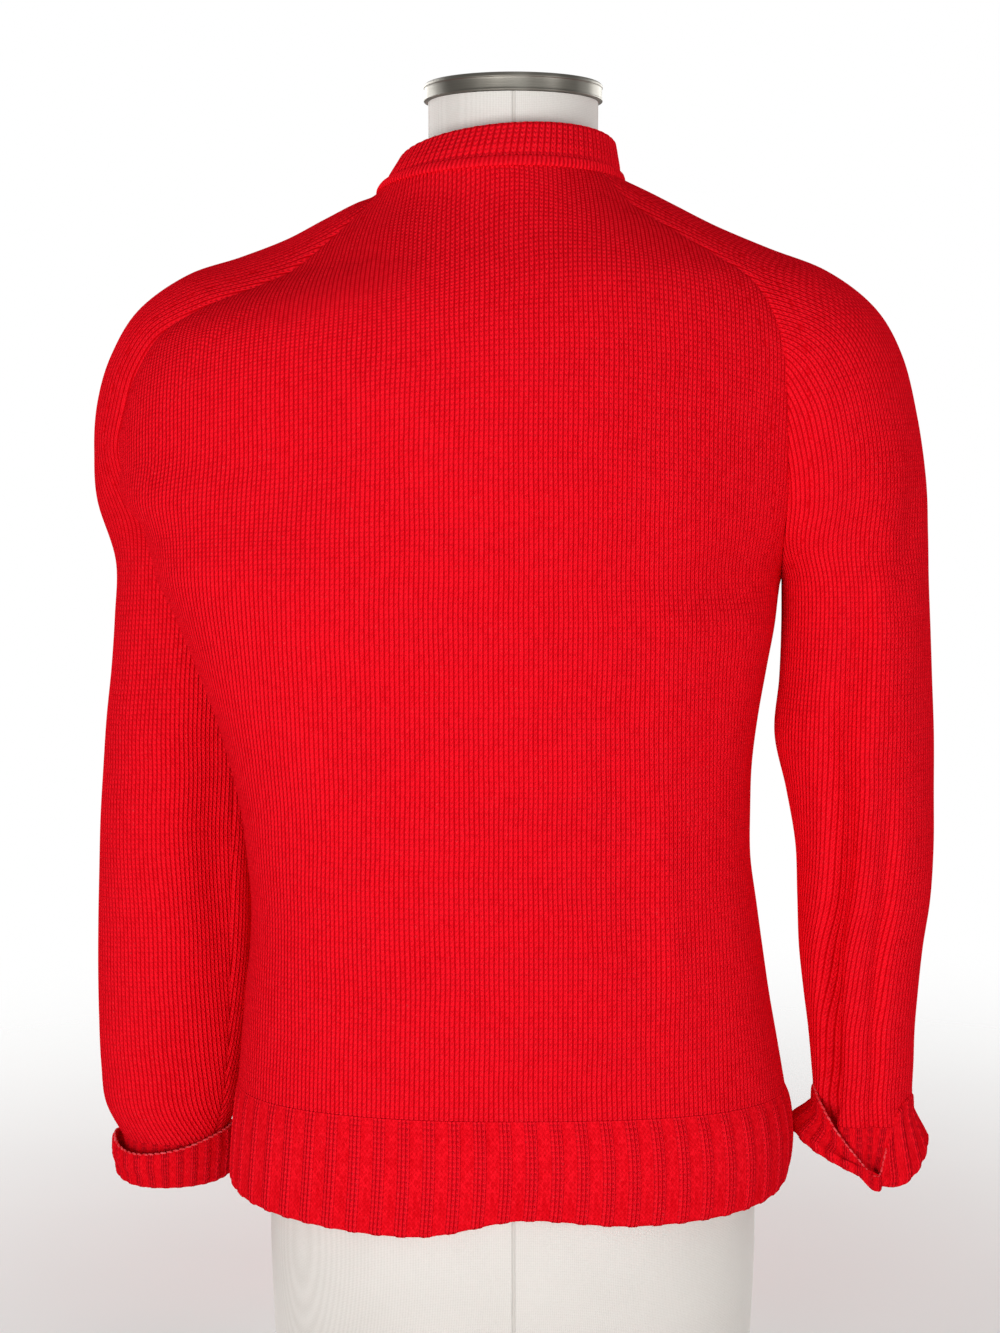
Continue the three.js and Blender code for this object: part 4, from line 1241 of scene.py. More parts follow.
@dataclass(frozen=True)
class SmoothKnit:
    """Smooth-faced knit in metres of the knit's own map, marked where it was narrowed."""

    yarn: Yarn = Yarn()
    wale: float = 0.0031
    course: float = 0.0034
    depth: float = 0.0011
    sway: float = 0.005  # how far the wales wander
    mark_inset: float = 0.0145  # from the armhole seam
    mark_half: float = 0.0014
    mark_pitch: float = 0.0136
    mark_depth: float = 0.6  # of the stitches' height

    def material(self) -> bpy.types.Material:
        """Stitches, with a line of narrowing marks beside the armhole seams.

        Returns:
            The material.
        """
        graph = FinishGraph("red_smooth_knit")
        u, v = graph.map(KNIT_MAP)
        wander = (graph.noise(graph.place(), 9.0) - 0.5) * self.sway
        height, tone = stitches(graph, (u + wander) / self.wale, v / self.course)
        inset, along = graph.map(SEAM_MAP)
        low, high = self.mark_inset - self.mark_half, self.mark_inset + self.mark_half
        line = inset.between(low, high, 0.0006)
        mark = line * (along / self.mark_pitch).swing().step(0.45, 0.8)
        height = height * (1 - mark * self.mark_depth)
        return self.yarn.dress(graph, height, tone, self.depth)


@dataclass(frozen=True)
class RibKnit:
    """Ribs: two smooth wales on each ridge, and fuzzy purl bumps in the hollows between them.

    The knit's map counts ribs across and metres along.
    """

    name: str
    yarn: Yarn = Yarn()
    ridge: tuple[float, float] = (0.08, 0.58)
    ridge_wales: int = 3
    hollow_wales: int = 3
    raised: float = 1.35  # how much stronger the ridges' stitches are
    course: float = 0.0034
    depth: float = 0.0011
    link: tuple[float, float] = (-1.0, -1.0)  # from where to where a linking ridge lies
    link_strokes: int = 3  # to a rib

    def material(self) -> bpy.types.Material:
        """Mixes the ridge's stitches and the hollow's bumps by the place across a rib.

        Returns:
            The material.
        """
        graph = FinishGraph(self.name)
        u, v = graph.map(KNIT_MAP)
        place = graph.place()
        across = u.fraction()
        low, high = self.ridge
        on_ridge = across.between(low, high, 0.025)
        courses = v / self.course
        wale = (across - low) / (high - low) * self.ridge_wales
        smooth, tone = stitches(graph, wale, courses)
        purl_wale = (across - high).fraction() / (1 - high + low) * self.hollow_wales
        arch = courses + (purl_wale.swing() - 0.5) * 0.6
        loose = graph.noise(place, 420.0, 3.0)
        purl = arch.swing() * 0.12 + purl_wale.swing() * 0.05 + loose * 0.3
        # Painted shade: the hollows stay low, so they take the yarn's deep colour.
        height = smooth * on_ridge * self.raised + purl * (1 - on_ridge)
        stroke = (u * self.link_strokes + (loose - 0.5) * 0.3).swing() * 0.75 + loose * 0.2
        on_link = v.between(*self.link, 0.0007)
        height = height * (1 - on_link) + stroke * on_link
        return self.yarn.dress(graph, height, tone, self.depth)


@dataclass(frozen=True)
class BoundEdge:
    """The chain of loops that ends a cuff, in worn, paler yarn."""

    pale: Colour = (0.9, 0.11, 0.13, 1.0)
    face: Colour = (0.74, 0.012, 0.022, 1.0)

    def material(self) -> bpy.types.Material:
        """Pale on patches, with fine fibres.

        Returns:
            The material.
        """
        graph = FinishGraph("red_bound_edge")
        place = graph.place()
        fibre = graph.noise(place, 1400.0, 3.0)
        worn = graph.noise(place, 160.0)
        colour = graph.blend((worn + (fibre - 0.5) * 0.5).step(0.35, 0.7), self.face, self.pale)
        return graph.finish(
            colour, fibre, 0.0004, Roughness=0.95, Specular_IOR_Level=0.12, Sheen_Weight=0.1
        )


@dataclass(frozen=True)
class FormCover:
    """The dress form's pale jersey cover, with sewn seams."""

    cloth: Colour = (0.80, 0.775, 0.735, 1.0)
    shade: Colour = (0.66, 0.635, 0.59, 1.0)
    wale: float = 0.0014
    course: float = 0.0011
    groove: tuple[float, float] = (0.0004, 0.0016)  # where its bottom ends and its top begins
    side_seam_y: float = 0.002

    def material(self) -> bpy.types.Material:
        """Fine jersey: thin wales and courses, and a groove down each seam.

        Returns:
            The material.
        """
        graph = FinishGraph("form_jersey")
        place = graph.place()
        x, y, z = graph.parts(place)
        weave = ((x + y) / self.wale).swing() * 0.5 + (z / self.course).swing() * 0.5
        fleck = graph.noise(place, 900.0, 3.0)
        broad = graph.noise(place, 14.0)
        middle_seam = abs(x).step(*self.groove)
        side_seam = abs(y - self.side_seam_y).step(*self.groove)
        seam = graph.lesser(middle_seam, side_seam)
        lit = weave * 0.35 + fleck * 0.4 + broad * 0.35
        colour = graph.blend(lit.step(0.1, 0.8) * seam, self.shade, self.cloth)
        relief = weave * 0.2 + fleck * 0.25 + seam
        return graph.finish(colour, relief, 0.0006, Roughness=0.86, Sheen_Weight=0.08)


@dataclass(frozen=True)
class BrushedCap:
    """The bright metal cap of the form's neck, turned on a lathe."""

    bright: Colour = (0.46, 0.44, 0.39, 1.0)
    dull: Colour = (0.13, 0.12, 0.1, 1.0)

    def material(self) -> bpy.types.Material:
        """Fine lines round the axis, some smears and a few broad bands of painted reflection,
        light and dark.

        Returns:
            The material.
        """
        graph = FinishGraph("cap_brushed_metal")
        x, y, z = graph.parts(graph.place())
        y = y - NECK_CENTRE_Y * MM
        radius = (x * x + y * y) ** 0.5
        turned = graph.noise(graph.vector(radius * 30, z * 30), 60.0, 4.0)
        smear = graph.noise(graph.place(), 45.0)
        # Painted reflections: broad bands of light and dark in the metal's colour.
        band = graph.noise(graph.vector(x, y), 34.0, 1.0).step(0.36, 0.62)
        colour = graph.blend(turned * 0.3 + smear * 0.15 + band * 0.55, self.dull, self.bright)
        rough = 0.34 + smear * 0.16 + turned * 0.1
        return graph.finish(colour, turned, 0.00006, Roughness=rough, Metallic=1.0)


# ---- Pieces -------------------------------------------------------------------------------------


class Side(Enum):
    """The wearer's side of a sleeve, with the sign of its x."""

    LEFT = 1
    RIGHT = -1


@dataclass(frozen=True)
class Cut:
    """A piece of cloth as it was knitted, before it was worn: width, length and area."""

    width: float
    length: float
    area: float | None = None


SLEEVE_CUT = Cut(0.46, 0.7, 0.2)
BACK_CUT = Cut(0.6, 0.62, 0.3)
FRONT_CUT = Cut(0.6, 0.6, 0.25)
HEM_CUT = Cut(0.5, 0.07)
CUFF_CUT = Cut(0.2, 0.08)
BAND_CUT = Cut(0.49, 0.032)


def place_piece(
    piece: bpy.types.Object,
    nodes: Sequence[str],
    material: bpy.types.Material,
) -> bpy.types.Object:
    """Dresses a piece and ties it to the frame.

    Args:
        piece: the object.
        nodes: the solids it stands for.
        material: its finish.

    Returns:
        The piece.
    """
    piece.data.materials.append(material)
    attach(piece, "root")
    if nodes:
        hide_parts(*nodes)
    return piece


def fold_depth(folds: Table, z: np.ndarray, angle: np.ndarray) -> np.ndarray:
    """How deep the folds of a sleeve press in.

    A bell across each fold, by the distance round the section over its width, times half a
    sine along it. A negative depth stands out.

    Args:
        folds: the sleeve's folds.
        z: heights.
        angle: angles round the section.

    Returns:
        Millimetres.
    """
    depth = np.zeros(z.shape)
    for top, bottom, angle_top, angle_bottom, deep, width in folds.rows:
        along = (top - z) / (top - bottom)
        middle = angle_top + (angle_bottom - angle_top) * along
        away = np.mod(angle - middle + 540.0, 360.0) - 180.0
        bell = np.exp(-((np.radians(away) * FOLD_RADIUS / width) ** 2))
        depth += deep * bell * np.sin(np.pi * np.clip(along, 0.0, 1.0))
    return depth


@dataclass
class Sleeve:
    """A saddle strap, sleeve head and sleeve in one, from the neckline to the cuff."""

    side: Side
    head: Table
    tube: Table
    folds: Table
    start: float  # angle of the underarm line round the section, 0 outward and 90 at the back
    cut: Cut = SLEEVE_CUT
    rows: np.ndarray = field(init=False)

    @property
    def name(self) -> str:
        """The name of its solid."""
        return f"{self.side.name.lower()}_sleeve"

    def head_row(self, back: np.ndarray, crest: np.ndarray, front: np.ndarray) -> np.ndarray:
        """The arc of a circle through the back seam, the crest and the front seam.

        With m the middle of the seams, the wrap is twice the angle whose tangent is the crest's
        distance from m over the front seam's. Points at angles a within the wrap go out by
        (cos a - cos wrap) / (1 - cos wrap) and along by sin a / sin wrap.

        Args:
            back: the back seam.
            crest: the crest.
            front: the front seam.

        Returns:
            The row's points.
        """
        middle = (back + front) / 2
        out, along = crest - middle, front - middle
        wrap = 2 * math.atan2(float(np.linalg.norm(out)), float(np.linalg.norm(along)))
        a = wrap * np.linspace(-1.0, 1.0, SLEEVE_COLUMNS + 1)
        outward = (np.cos(a) - math.cos(wrap)) / (1 - math.cos(wrap))
        sideways = np.sin(a) / math.sin(wrap)
        return middle + out * outward[:, None] + along * sideways[:, None]

    def angles(self) -> np.ndarray:
        """The angle of each column round the section."""
        return self.start - np.linspace(0.0, 360.0, SLEEVE_COLUMNS + 1)

    def ring(self, z: float) -> np.ndarray:
        """A level ellipse from the underarm line round the front and back to it.

        Args:
            z: its height.

        Returns:
            One point for each column.
        """
        a = np.radians(self.angles())
        inner, outer, y, depth = (
            float(self.tube.at(name, z)) for name in ("inner", "outer", "y", "depth")
        )
        x = (outer + inner) / 2 + (outer - inner) / 2 * np.cos(a)
        return np.stack([self.side.value * x, y + depth * np.sin(a), np.full_like(x, z)], axis=1)

    def lay_rows(self) -> None:
        """Lays out the coarse rows."""
        first, last = (
            STRAP_ANGLES[f"{self.side.name.lower()}_{edge}"] for edge in ("back", "front")
        )
        rows = [NECK_SEAM.arc(first, last, SLEEVE_COLUMNS + 1)]
        flip = np.array([self.side.value, 1, 1])
        for row in self.head.rows:
            places = np.array(row[1:], float).reshape(3, 3) * flip
            rows.append(self.head_row(*places))
        rows += [self.ring(row[0]) for row in self.tube.rows]
        self.rows = np.stack(rows)

    def pressed(self, cloth: Cloth) -> np.ndarray:
        """How deep the folds press in at each point of the sleeve's grid."""
        z = cloth.points[..., 2]
        return fold_depth(self.folds, z, np.broadcast_to(self.angles(), z.shape))

    def build(self, cloth: Cloth, material: bpy.types.Material) -> bpy.types.Object:
        """Makes the sleeve, after the seams have been shared.

        Args:
            cloth: its grid.
            material: its finish.

        Returns:
            The sleeve.
        """
        crest = cloth.course[:, SLEEVE_COLUMNS // 2]
        piece = cloth.wall(f"{self.name}_knit", cloth.knit(crest), WALL)
        return place_piece(piece, [self.name], material)


@dataclass
class BackPanel:
    """The back, from the neckline and the armhole seams to the hem rib."""

    cut: Cut = BACK_CUT
    creases: tuple[Crease, ...] = BACK_CREASES

    def body_row(self, z: float) -> np.ndarray:
        """A level row of the body: the turned-in cloth and the rest."""
        turned, main = self.body_parts(z)
        return np.concatenate([turned, main])

    def body_parts(self, z: float) -> tuple[np.ndarray, np.ndarray]:
        """The two parts of a level row of the body.

        Args:
            z: its height.

        Returns:
            The cloth that turns in on the left, and the rest.
        """
        seam, wide, right = body_places(z)
        ends = (1 / BODY_POWER, 1 / BODY_POWER)
        main = full_row(wide, right, float(BODY.at("back", z)), 0, BODY_POWER, ends)
        return tucked_edge(seam, wide, float(BODY.at("hug", z))), main

    def pinned(self, turned: np.ndarray, main: np.ndarray) -> np.ndarray:
        """A row with a fixed share of its columns on the cloth that turns in.

        Args:
            turned: points of the cloth that turns in.
            main: points of the rest.

        Returns:
            The row's points.
        """
        count = round(PANEL_COLUMNS * TURN_SHARE)
        turn = spread(np.concatenate([turned, main[:1]]), count + 1)
        return np.concatenate([turn[:-1], spread(main, PANEL_COLUMNS + 1 - count)])

    def turned_in(self, row: int, seam: np.ndarray) -> tuple[np.ndarray, np.ndarray]:
        """The cloth that turns in on the left of a yoke row, where it does.

        Args:
            row: the row's number.
            seam: the point on the left seam.

        Returns:
            The turned-in points, if any, and the point from where the row goes on.
        """
        if row not in LEFT_TURN.column("row"):
            return np.empty((0, 3)), seam
        wide = np.array([LEFT_TURN.at("x", row), LEFT_TURN.at("y", row), seam[2]])
        return tucked_edge(seam, wide, float(LEFT_TURN.at("hug", row))), wide

    def lay_rows(self, left: np.ndarray, right: np.ndarray) -> np.ndarray:
        """Lays out the coarse rows between the back edges of the two sleeves.

        Args:
            left: the left sleeve's coarse rows.
            right: the right sleeve's.

        Returns:
            The rows.
        """
        first, last = STRAP_ANGLES["left_back"], STRAP_ANGLES["right_back"]
        rows = [NECK_SEAM.arc(first, last, PANEL_COLUMNS + 1)]
        for n, reach, rise, left_end, right_end, *_, power in YOKE.rows:
            row = int(n)
            turned, wide = self.turned_in(row, left[row, 0])
            main = full_row(wide, right[row, 0], reach, rise, power, (left_end, right_end))
            if row == UNDERARM:
                rows.append(self.pinned(turned, main))
            else:
                rows.append(spread(np.concatenate([turned, main]), PANEL_COLUMNS + 1))
        rows += [self.pinned(*self.body_parts(z)) for z in body_heights()]
        return np.stack(rows)

    def build(self, cloth: Cloth, material: bpy.types.Material) -> bpy.types.Object:
        """Makes the panel from its grid, after the seams have been shared."""
        piece = cloth.wall("back_panel_knit", cloth.knit(middle_course(cloth)), WALL)
        return place_piece(piece, ["back_panel"], material)


@dataclass
class FrontPanel:
    """The front, from the neckline and the armhole seams to the hem rib."""

    cut: Cut = FRONT_CUT
    creases: tuple[Crease, ...] = FRONT_CREASES

    def body_row(self, z: float) -> np.ndarray:
        """A level row of the body.

        Args:
            z: its height.

        Returns:
            The row's points.
        """
        seam, _, right = body_places(z)
        ends = (float(BODY.at("corner", z)), 1 / BODY_POWER)
        return full_row(seam, right, -float(BODY.at("front", z)), 0, BODY_POWER, ends)

    def lay_rows(self, left: np.ndarray, right: np.ndarray) -> np.ndarray:
        """Lays out the coarse rows between the front edges of the two sleeves.

        Args:
            left: the left sleeve's coarse rows.
            right: the right sleeve's.

        Returns:
            The rows.
        """
        first, last = STRAP_ANGLES["left_front"], STRAP_ANGLES["right_front"] - 360
        rows = [NECK_SEAM.arc(first, last, PANEL_COLUMNS + 1)]
        for n, _, _, _, _, reach, drop, left_end, right_end, power in YOKE.rows:
            ends = (left_end, right_end)
            line = full_row(left[int(n), -1], right[int(n), -1], -reach, -drop, power, ends)
            rows.append(spread(line, PANEL_COLUMNS + 1))
        rows += [spread(self.body_row(z), PANEL_COLUMNS + 1) for z in body_heights()]
        return np.stack(rows)

    def build(self, cloth: Cloth, material: bpy.types.Material) -> bpy.types.Object:
        """Makes the panel from its grid, after the seams have been shared."""
        piece = cloth.wall("front_panel_knit", cloth.knit(middle_course(cloth)), WALL)
        return place_piece(piece, ["front_panel"], material)


def body_places(z: float) -> tuple[np.ndarray, np.ndarray, np.ndarray]:
    """Three places of a level section of the body.

    Args:
        z: its height.

    Returns:
        The left seam, the widest place on the left and the right seam.
    """
    seam = np.array([BODY.at("seam", z), BODY.at("seam_y", z), z], float)
    wide = np.array([BODY.at("left", z), BODY.at("left_y", z), z], float)
    return seam, wide, np.array([-BODY.at("right", z), RIGHT_SEAM_Y, z], float)


def body_heights() -> list[float]:
    """Heights of the panels' rows between the underarm and the hem rib."""
    return [row[0] for row in reversed(BODY.rows) if row[0] >= HEM_TOP]


def middle_course(cloth: Cloth) -> np.ndarray:
    """The level distance from the left end of a panel's row to the place where x is 0.

    Args:
        cloth: the panel's grid.

    Returns:
        The distance for each row.
    """
    x = cloth.points[..., 0]
    near = np.argmin(np.abs(x), axis=1)
    rows = np.arange(len(x))
    after = np.minimum(near + 1, x.shape[1] - 1)
    further = cloth.course[rows, after] - cloth.course[rows, near]
    step = further / np.minimum(x[rows, after] - x[rows, near], -1e-6)
    return cloth.course[rows, near] - x[rows, near] * step


def rib_relief(turns: np.ndarray) -> np.ndarray:
    """Height of a rib over its plain wall, 0 to 1, by its place across ribs.

    Up over the first fifth of a rib, level to a half, with a fine furrow between its two wales,
    and down again.

    Args:
        turns: the place across, counted in ribs.

    Returns:
        The height.
    """
    across = np.mod(turns, 1.0)
    plateau = ease((across - 0.1) / 0.13) * (1 - ease((across - 0.48) / 0.13))
    furrow = 0.16 * np.exp(-(((across - 0.355) / 0.045) ** 2))
    return plateau * (1 - furrow)


@dataclass
class HemRib:
    """The rib of one panel: ribs stand out of a plain wall, and the lower edge is rounded."""

    name: str
    body_row: Callable[[float], np.ndarray]
    outward: int  # 1 for the back, -1 for the front
    cut: Cut = HEM_CUT
    edge_round: float = 2.2
    fade: float = 9.0  # how far from the seam and from the edge the ribs reach their full height
    edge_share: float = 0.45  # of that height, at the edge
    relief: float = 1.0
    scallop: float = 0.5  # how far the edge lifts between the ribs
    row_count: int = 27

    def rows(self, count: int) -> np.ndarray:
        """Rows from the seam with the panel to the lower edge.

        Each column is a parabola through its top, its middle and its bottom.

        Args:
            count: how many columns.

        Returns:
            The rows' points.
        """
        top = spread(self.body_row(HEM_TOP - SEAM_GAP), count)
        bottom = spread(self.body_row(HEM_BOTTOM), count)
        middle = spread(self.body_row((HEM_TOP + HEM_BOTTOM) / 2), count)
        angle = np.degrees(np.arctan2(bottom[:, 1], bottom[:, 0]))
        bottom[:, 2] = HEM_EDGE.round_at("z", angle)
        middle[:, 2] = (top[:, 2] + bottom[:, 2]) / 2
        t = np.linspace(0.0, 1.0, self.row_count)[:, None, None]
        swing = 4 * t * (1 - t)
        return top * (1 - t) + bottom * t + swing * (middle - (top + bottom) / 2)

    def build(self, material: bpy.types.Material) -> bpy.types.Object:
        """Makes the rib.

        The outer face stands out by the relief times a smooth step down from the seam, and both
        faces bend together over the last millimetres: by a radius less the root of its square
        less the square of the distance into the bend.

        Args:
            material: the rib's finish.

        Returns:
            The rib.
        """
        count = HEM_RIBS * RIB_STEPS + 1
        rows = self.rows(count)
        turns = np.linspace(0.0, HEM_RIBS, count)
        across = np.gradient(rows, axis=1)
        out = unit(np.stack([across[..., 1], -across[..., 0], np.zeros(rows.shape[:2])], axis=-1))
        out = out * np.sign((out[..., 1] * self.outward).sum())
        below = rows[:1, :, 2] - rows[..., 2]
        left = rows[..., 2] - rows[-1:, :, 2]
        into = np.clip(self.edge_round - left, 0.0, self.edge_round * 0.98)
        bend = self.edge_round - np.sqrt(self.edge_round**2 - into**2)
        full = self.edge_share + (1 - self.edge_share) * ease(left / self.fade)
        height = self.relief * rib_relief(turns)[None] * ease(below / self.fade) * full
        outer_points = rows + out * (height + soft_waves(rows) - bend)[..., None]
        scallop = self.scallop * (1 - rib_relief(turns)) * ease(1 - left / self.fade)
        outer_points[..., 2] += scallop
        inner_points = rows + out * (soft_waves(rows) - RIB_WALL + bend * 0.5)[..., None]
        inner_points[..., 2] += scallop
        knit = np.stack([np.broadcast_to(turns, rows.shape[:2]), below * -MM], axis=-1)
        shell = Shell()
        outer = shell.add(outer_points, knit)
        inner = shell.add(inner_points[:, ::INNER_STEP], knit[:, ::INNER_STEP])
        shell.wall(outer, inner, (self.row_count - 1, self.row_count - 1))
        piece = shell.build(f"{self.name}_knit", 70.0)
        return place_piece(piece, [self.name], material)


@dataclass
class TurnedCuff:
    """A ribbed cuff turned back once over the sleeve's end, with its bound-off edge."""

    side: Side
    tube: Table
    shape: Table
    section: tuple[float, float, float, float]  # inner, outer, y and depth at the fold
    folds: Table  # those of the sleeve
    bound: tuple[float, float] = (0.0, 360.0)  # angles between which the bound-off edge shows
    cut: Cut = CUFF_CUT
    steps: int = 3  # points between two rows of the profile
    relief: float = 1.0
    link_pitch: float = 4.2
    link_radius: float = 0.8
    link_points: int = 8  # along a link and round it
    link_reach: float = 0.53  # of the pitch, from a link's middle to its end
    link_lean: tuple[float, float] = (0.5, 0.25)  # how far a link's end leans out and up
    link_path: float = 10.6  # where on the profile the links lie

    @property
    def name(self) -> str:
        """The name of its solid."""
        return f"{self.side.name.lower()}_cuff"

    def surface(self, path: np.ndarray, angle: np.ndarray, ribs: float = 1.0) -> np.ndarray:
        """Points of the cuff.

        The section is an ellipse that goes from the fold's to the sleeve's end by the profile's
        share. A point stands out of it by the profile's way out, the lean at the free edge, the
        bell at the fold and the ribs. Its height is the fold's plus the profile's, with the free
        edge's added where the profile says so.

        Args:
            path: places along the profile.
            angle: degrees round the arm.
            ribs: the ribs' share of their relief.

        Returns:
            Points, profile by angle.
        """
        p, a = np.meshgrid(path, angle, indexing="ij")
        row = {name: CUFF_PROFILE.at(name, p) for name in ("share", "out", "up", "edge", "rib")}
        share, edge = np.clip(row["share"], 0.0, 1.0), np.clip(row["edge"], 0.0, 1.0)
        fold, free, lean, bell = (
            self.shape.round_at(name, a) for name in ("fold", "edge", "lean", "bell")
        )
        end = self.tube.rows[-1]
        inner, outer, y, depth = (
            here * (1 - share) + there * share for here, there in zip(self.section, end[1:])
        )
        relief = self.relief * rib_relief(a * CUFF_RIBS / 360) * np.clip(row["rib"], 0.0, 1.0)
        folded = fold_depth(self.folds, np.full(a.shape, end[0]), a) * share
        out = row["out"] + lean * edge + bell * (1 - edge) * (1 - share) - folded + relief * ribs
        turn = np.radians(a)
        x = (inner + outer) / 2 + ((outer - inner) / 2 + out) * np.cos(turn)
        y = y + (depth + out) * np.sin(turn)
        low = fold + edge * (free - fold) + row["up"]
        z = low * (1 - share) + (end[0] - SEAM_GAP / 4) * share
        return np.stack([self.side.value * x, y, z], axis=-1)

    def links(self) -> tuple[np.ndarray, np.ndarray, np.ndarray, np.ndarray]:
        """Lays out the links of the chain along the free edge, where it shows.

        Returns:
            Each link's middle, and unit vectors along the edge, out of the cuff and upwards.
        """
        angle = np.linspace(0.0, 360.0, 721)
        line = self.surface(np.array([self.link_path]), angle, 0.6)[0]
        length = np.linalg.norm(np.diff(line, axis=0), axis=1).sum()
        middle = spread(line, int(length / self.link_pitch) + 1)[:-1]
        ahead = unit(np.roll(middle, -1, axis=0) - np.roll(middle, 1, axis=0))
        inner, outer, y, _ = self.section
        sideways = self.side.value * middle[:, 0] - (inner + outer) / 2
        place = np.mod(np.degrees(np.arctan2(middle[:, 1] - y, sideways)), 360.0)
        shown = (place >= self.bound[0]) & (place <= self.bound[1])
        level = np.array([1, 1, 0])
        outward = unit(middle * level - middle.mean(axis=0) * level)
        upward = unit(np.cross(ahead, outward))
        return middle[shown], ahead[shown], outward[shown], upward[shown]

    def bound_edge(self, material: bpy.types.Material) -> bpy.types.Object:
        """Makes the chain of links along the free edge.

        A link is a bead: a circle whose radius goes as the root of 1 less the square of the place
        along it, bent a little out of the edge's line.

        Args:
            material: the chain's finish.

        Returns:
            The chain.
        """
        middle, ahead, outward, upward = self.links()
        t = np.linspace(-1.0, 1.0, self.link_points)
        ring = np.linspace(0.0, math.tau, self.link_points)
        radius = self.link_radius * np.sqrt(np.maximum(1 - t * t, 0.0))
        lean_out, lean_up = self.link_lean
        along = np.broadcast_to(self.link_reach * self.link_pitch * t[:, None], (len(t), len(ring)))
        out = radius[:, None] * np.cos(ring) + lean_out * t[:, None]
        up = radius[:, None] * np.sin(ring) + lean_up * t[:, None]
        grid = middle[:, None, None]
        for way, distance in ((ahead, along), (outward, out), (upward, up)):
            grid = grid + way[:, None, None] * distance[None, ..., None]
        shell = Shell()
        ids = shell.add(grid, np.zeros(grid.shape[:-1] + (2,)))
        shell.join(ids[..., 0], ids[..., -1])
        for end in (0, -1):
            shell.join(np.repeat(ids[:, end, :1], self.link_points - 1, axis=1), ids[:, end, 1:])
        shell.strip(ids[:, :-1], ids[:, 1:])
        piece = shell.build(f"{self.name}_bound_edge", 80.0)
        return place_piece(piece, [], material)

    def build(self, material: bpy.types.Material) -> bpy.types.Object:
        """Makes the cuff.

        Args:
            material: its finish.

        Returns:
            The cuff.
        """
        last = len(CUFF_PROFILE.rows) - 1
        path = np.linspace(0.0, last, last * self.steps + 1)
        angle = np.linspace(0.0, 360.0, CUFF_RIBS * RIB_STEPS + 1)
        points = self.surface(path, angle)
        rises = np.linalg.norm(np.diff(points, axis=0), axis=2).mean(axis=1)
        down = np.concatenate([[0.0], np.cumsum(rises)]) * MM
        turns = np.broadcast_to(angle * CUFF_RIBS / 360, points.shape[:2])
        knit = np.stack([turns, np.broadcast_to(down[:, None], turns.shape)], axis=-1)
        piece = ring_mesh(f"{self.name}_knit", points, knit)
        sleeve = f"{self.side.name.lower()}_sleeve"
        return place_piece(piece, [self.name], material)


@dataclass
class NeckBand:
    """The ribbed band round the neck, folded over its top, with a rolled linking ridge."""

    cut: Cut = BAND_CUT
    steps: int = 3  # points between two rows of the profile
    relief: float = 0.3
    stroke: float = 0.2  # relief of the linking ridge's strokes
    strokes_to_rib: int = 3
    ridge_middle: float = 3.0  # where on the profile the linking ridge is highest
    ridge_reach: float = 2.2  # from there to its ends

    def build(self, material: bpy.types.Material) -> bpy.types.Object:
        """Makes the band.

        Round the neck the band rises from the seam's loop to the edge's. A profile point is the
        seam's point, plus the way up along that rise, plus the way out square to it.

        Args:
            material: its finish.

        Returns:
            The band.
        """
        last = len(BAND_PROFILE.rows) - 1
        path = np.linspace(0.0, last, last * self.steps + 1)
        angle = np.linspace(0.0, 360.0, BAND_RIBS * RIB_STEPS + 1)
        p, a = np.meshgrid(path, angle, indexing="ij")
        up, top, out, rib = (BAND_PROFILE.at(name, p) for name in ("up", "top", "out", "rib"))
        seam = NECK_SEAM.at(a)
        rise = NECK_EDGE.at(a) - seam
        length = np.linalg.norm(rise, axis=-1)
        turn = np.radians(a)
        along_x, along_y = -np.sin(turn) * NECK_SEAM.half_width, np.cos(turn) * NECK_SEAM.half_depth
        outward = unit(np.cross(np.stack([along_x, along_y, 0 * a], axis=-1), rise))
        relief = self.relief * rib_relief(a * BAND_RIBS / 360) * np.clip(rib, 0.0, 1.0)
        on_ridge = ease(1 - np.abs(p - self.ridge_middle) / self.ridge_reach)
        strokes = self.stroke * np.cos(turn * BAND_RIBS * self.strokes_to_rib) * on_ridge
        way_up = up + np.clip(top, 0.0, 1.0) * length
        points = seam + unit(rise) * way_up[..., None]
        points = points + outward * (out + relief + strokes)[..., None]
        rises = np.linalg.norm(np.diff(points, axis=0), axis=2).mean(axis=1)
        up_path = np.concatenate([[0.0], np.cumsum(rises)]) * MM
        turns = np.broadcast_to(angle * BAND_RIBS / 360, points.shape[:2])
        knit = np.stack([turns, np.broadcast_to(up_path[:, None], turns.shape)], axis=-1)
        piece = ring_mesh("neckband_knit", points, knit)
        return place_piece(piece, ["neckband"], material)


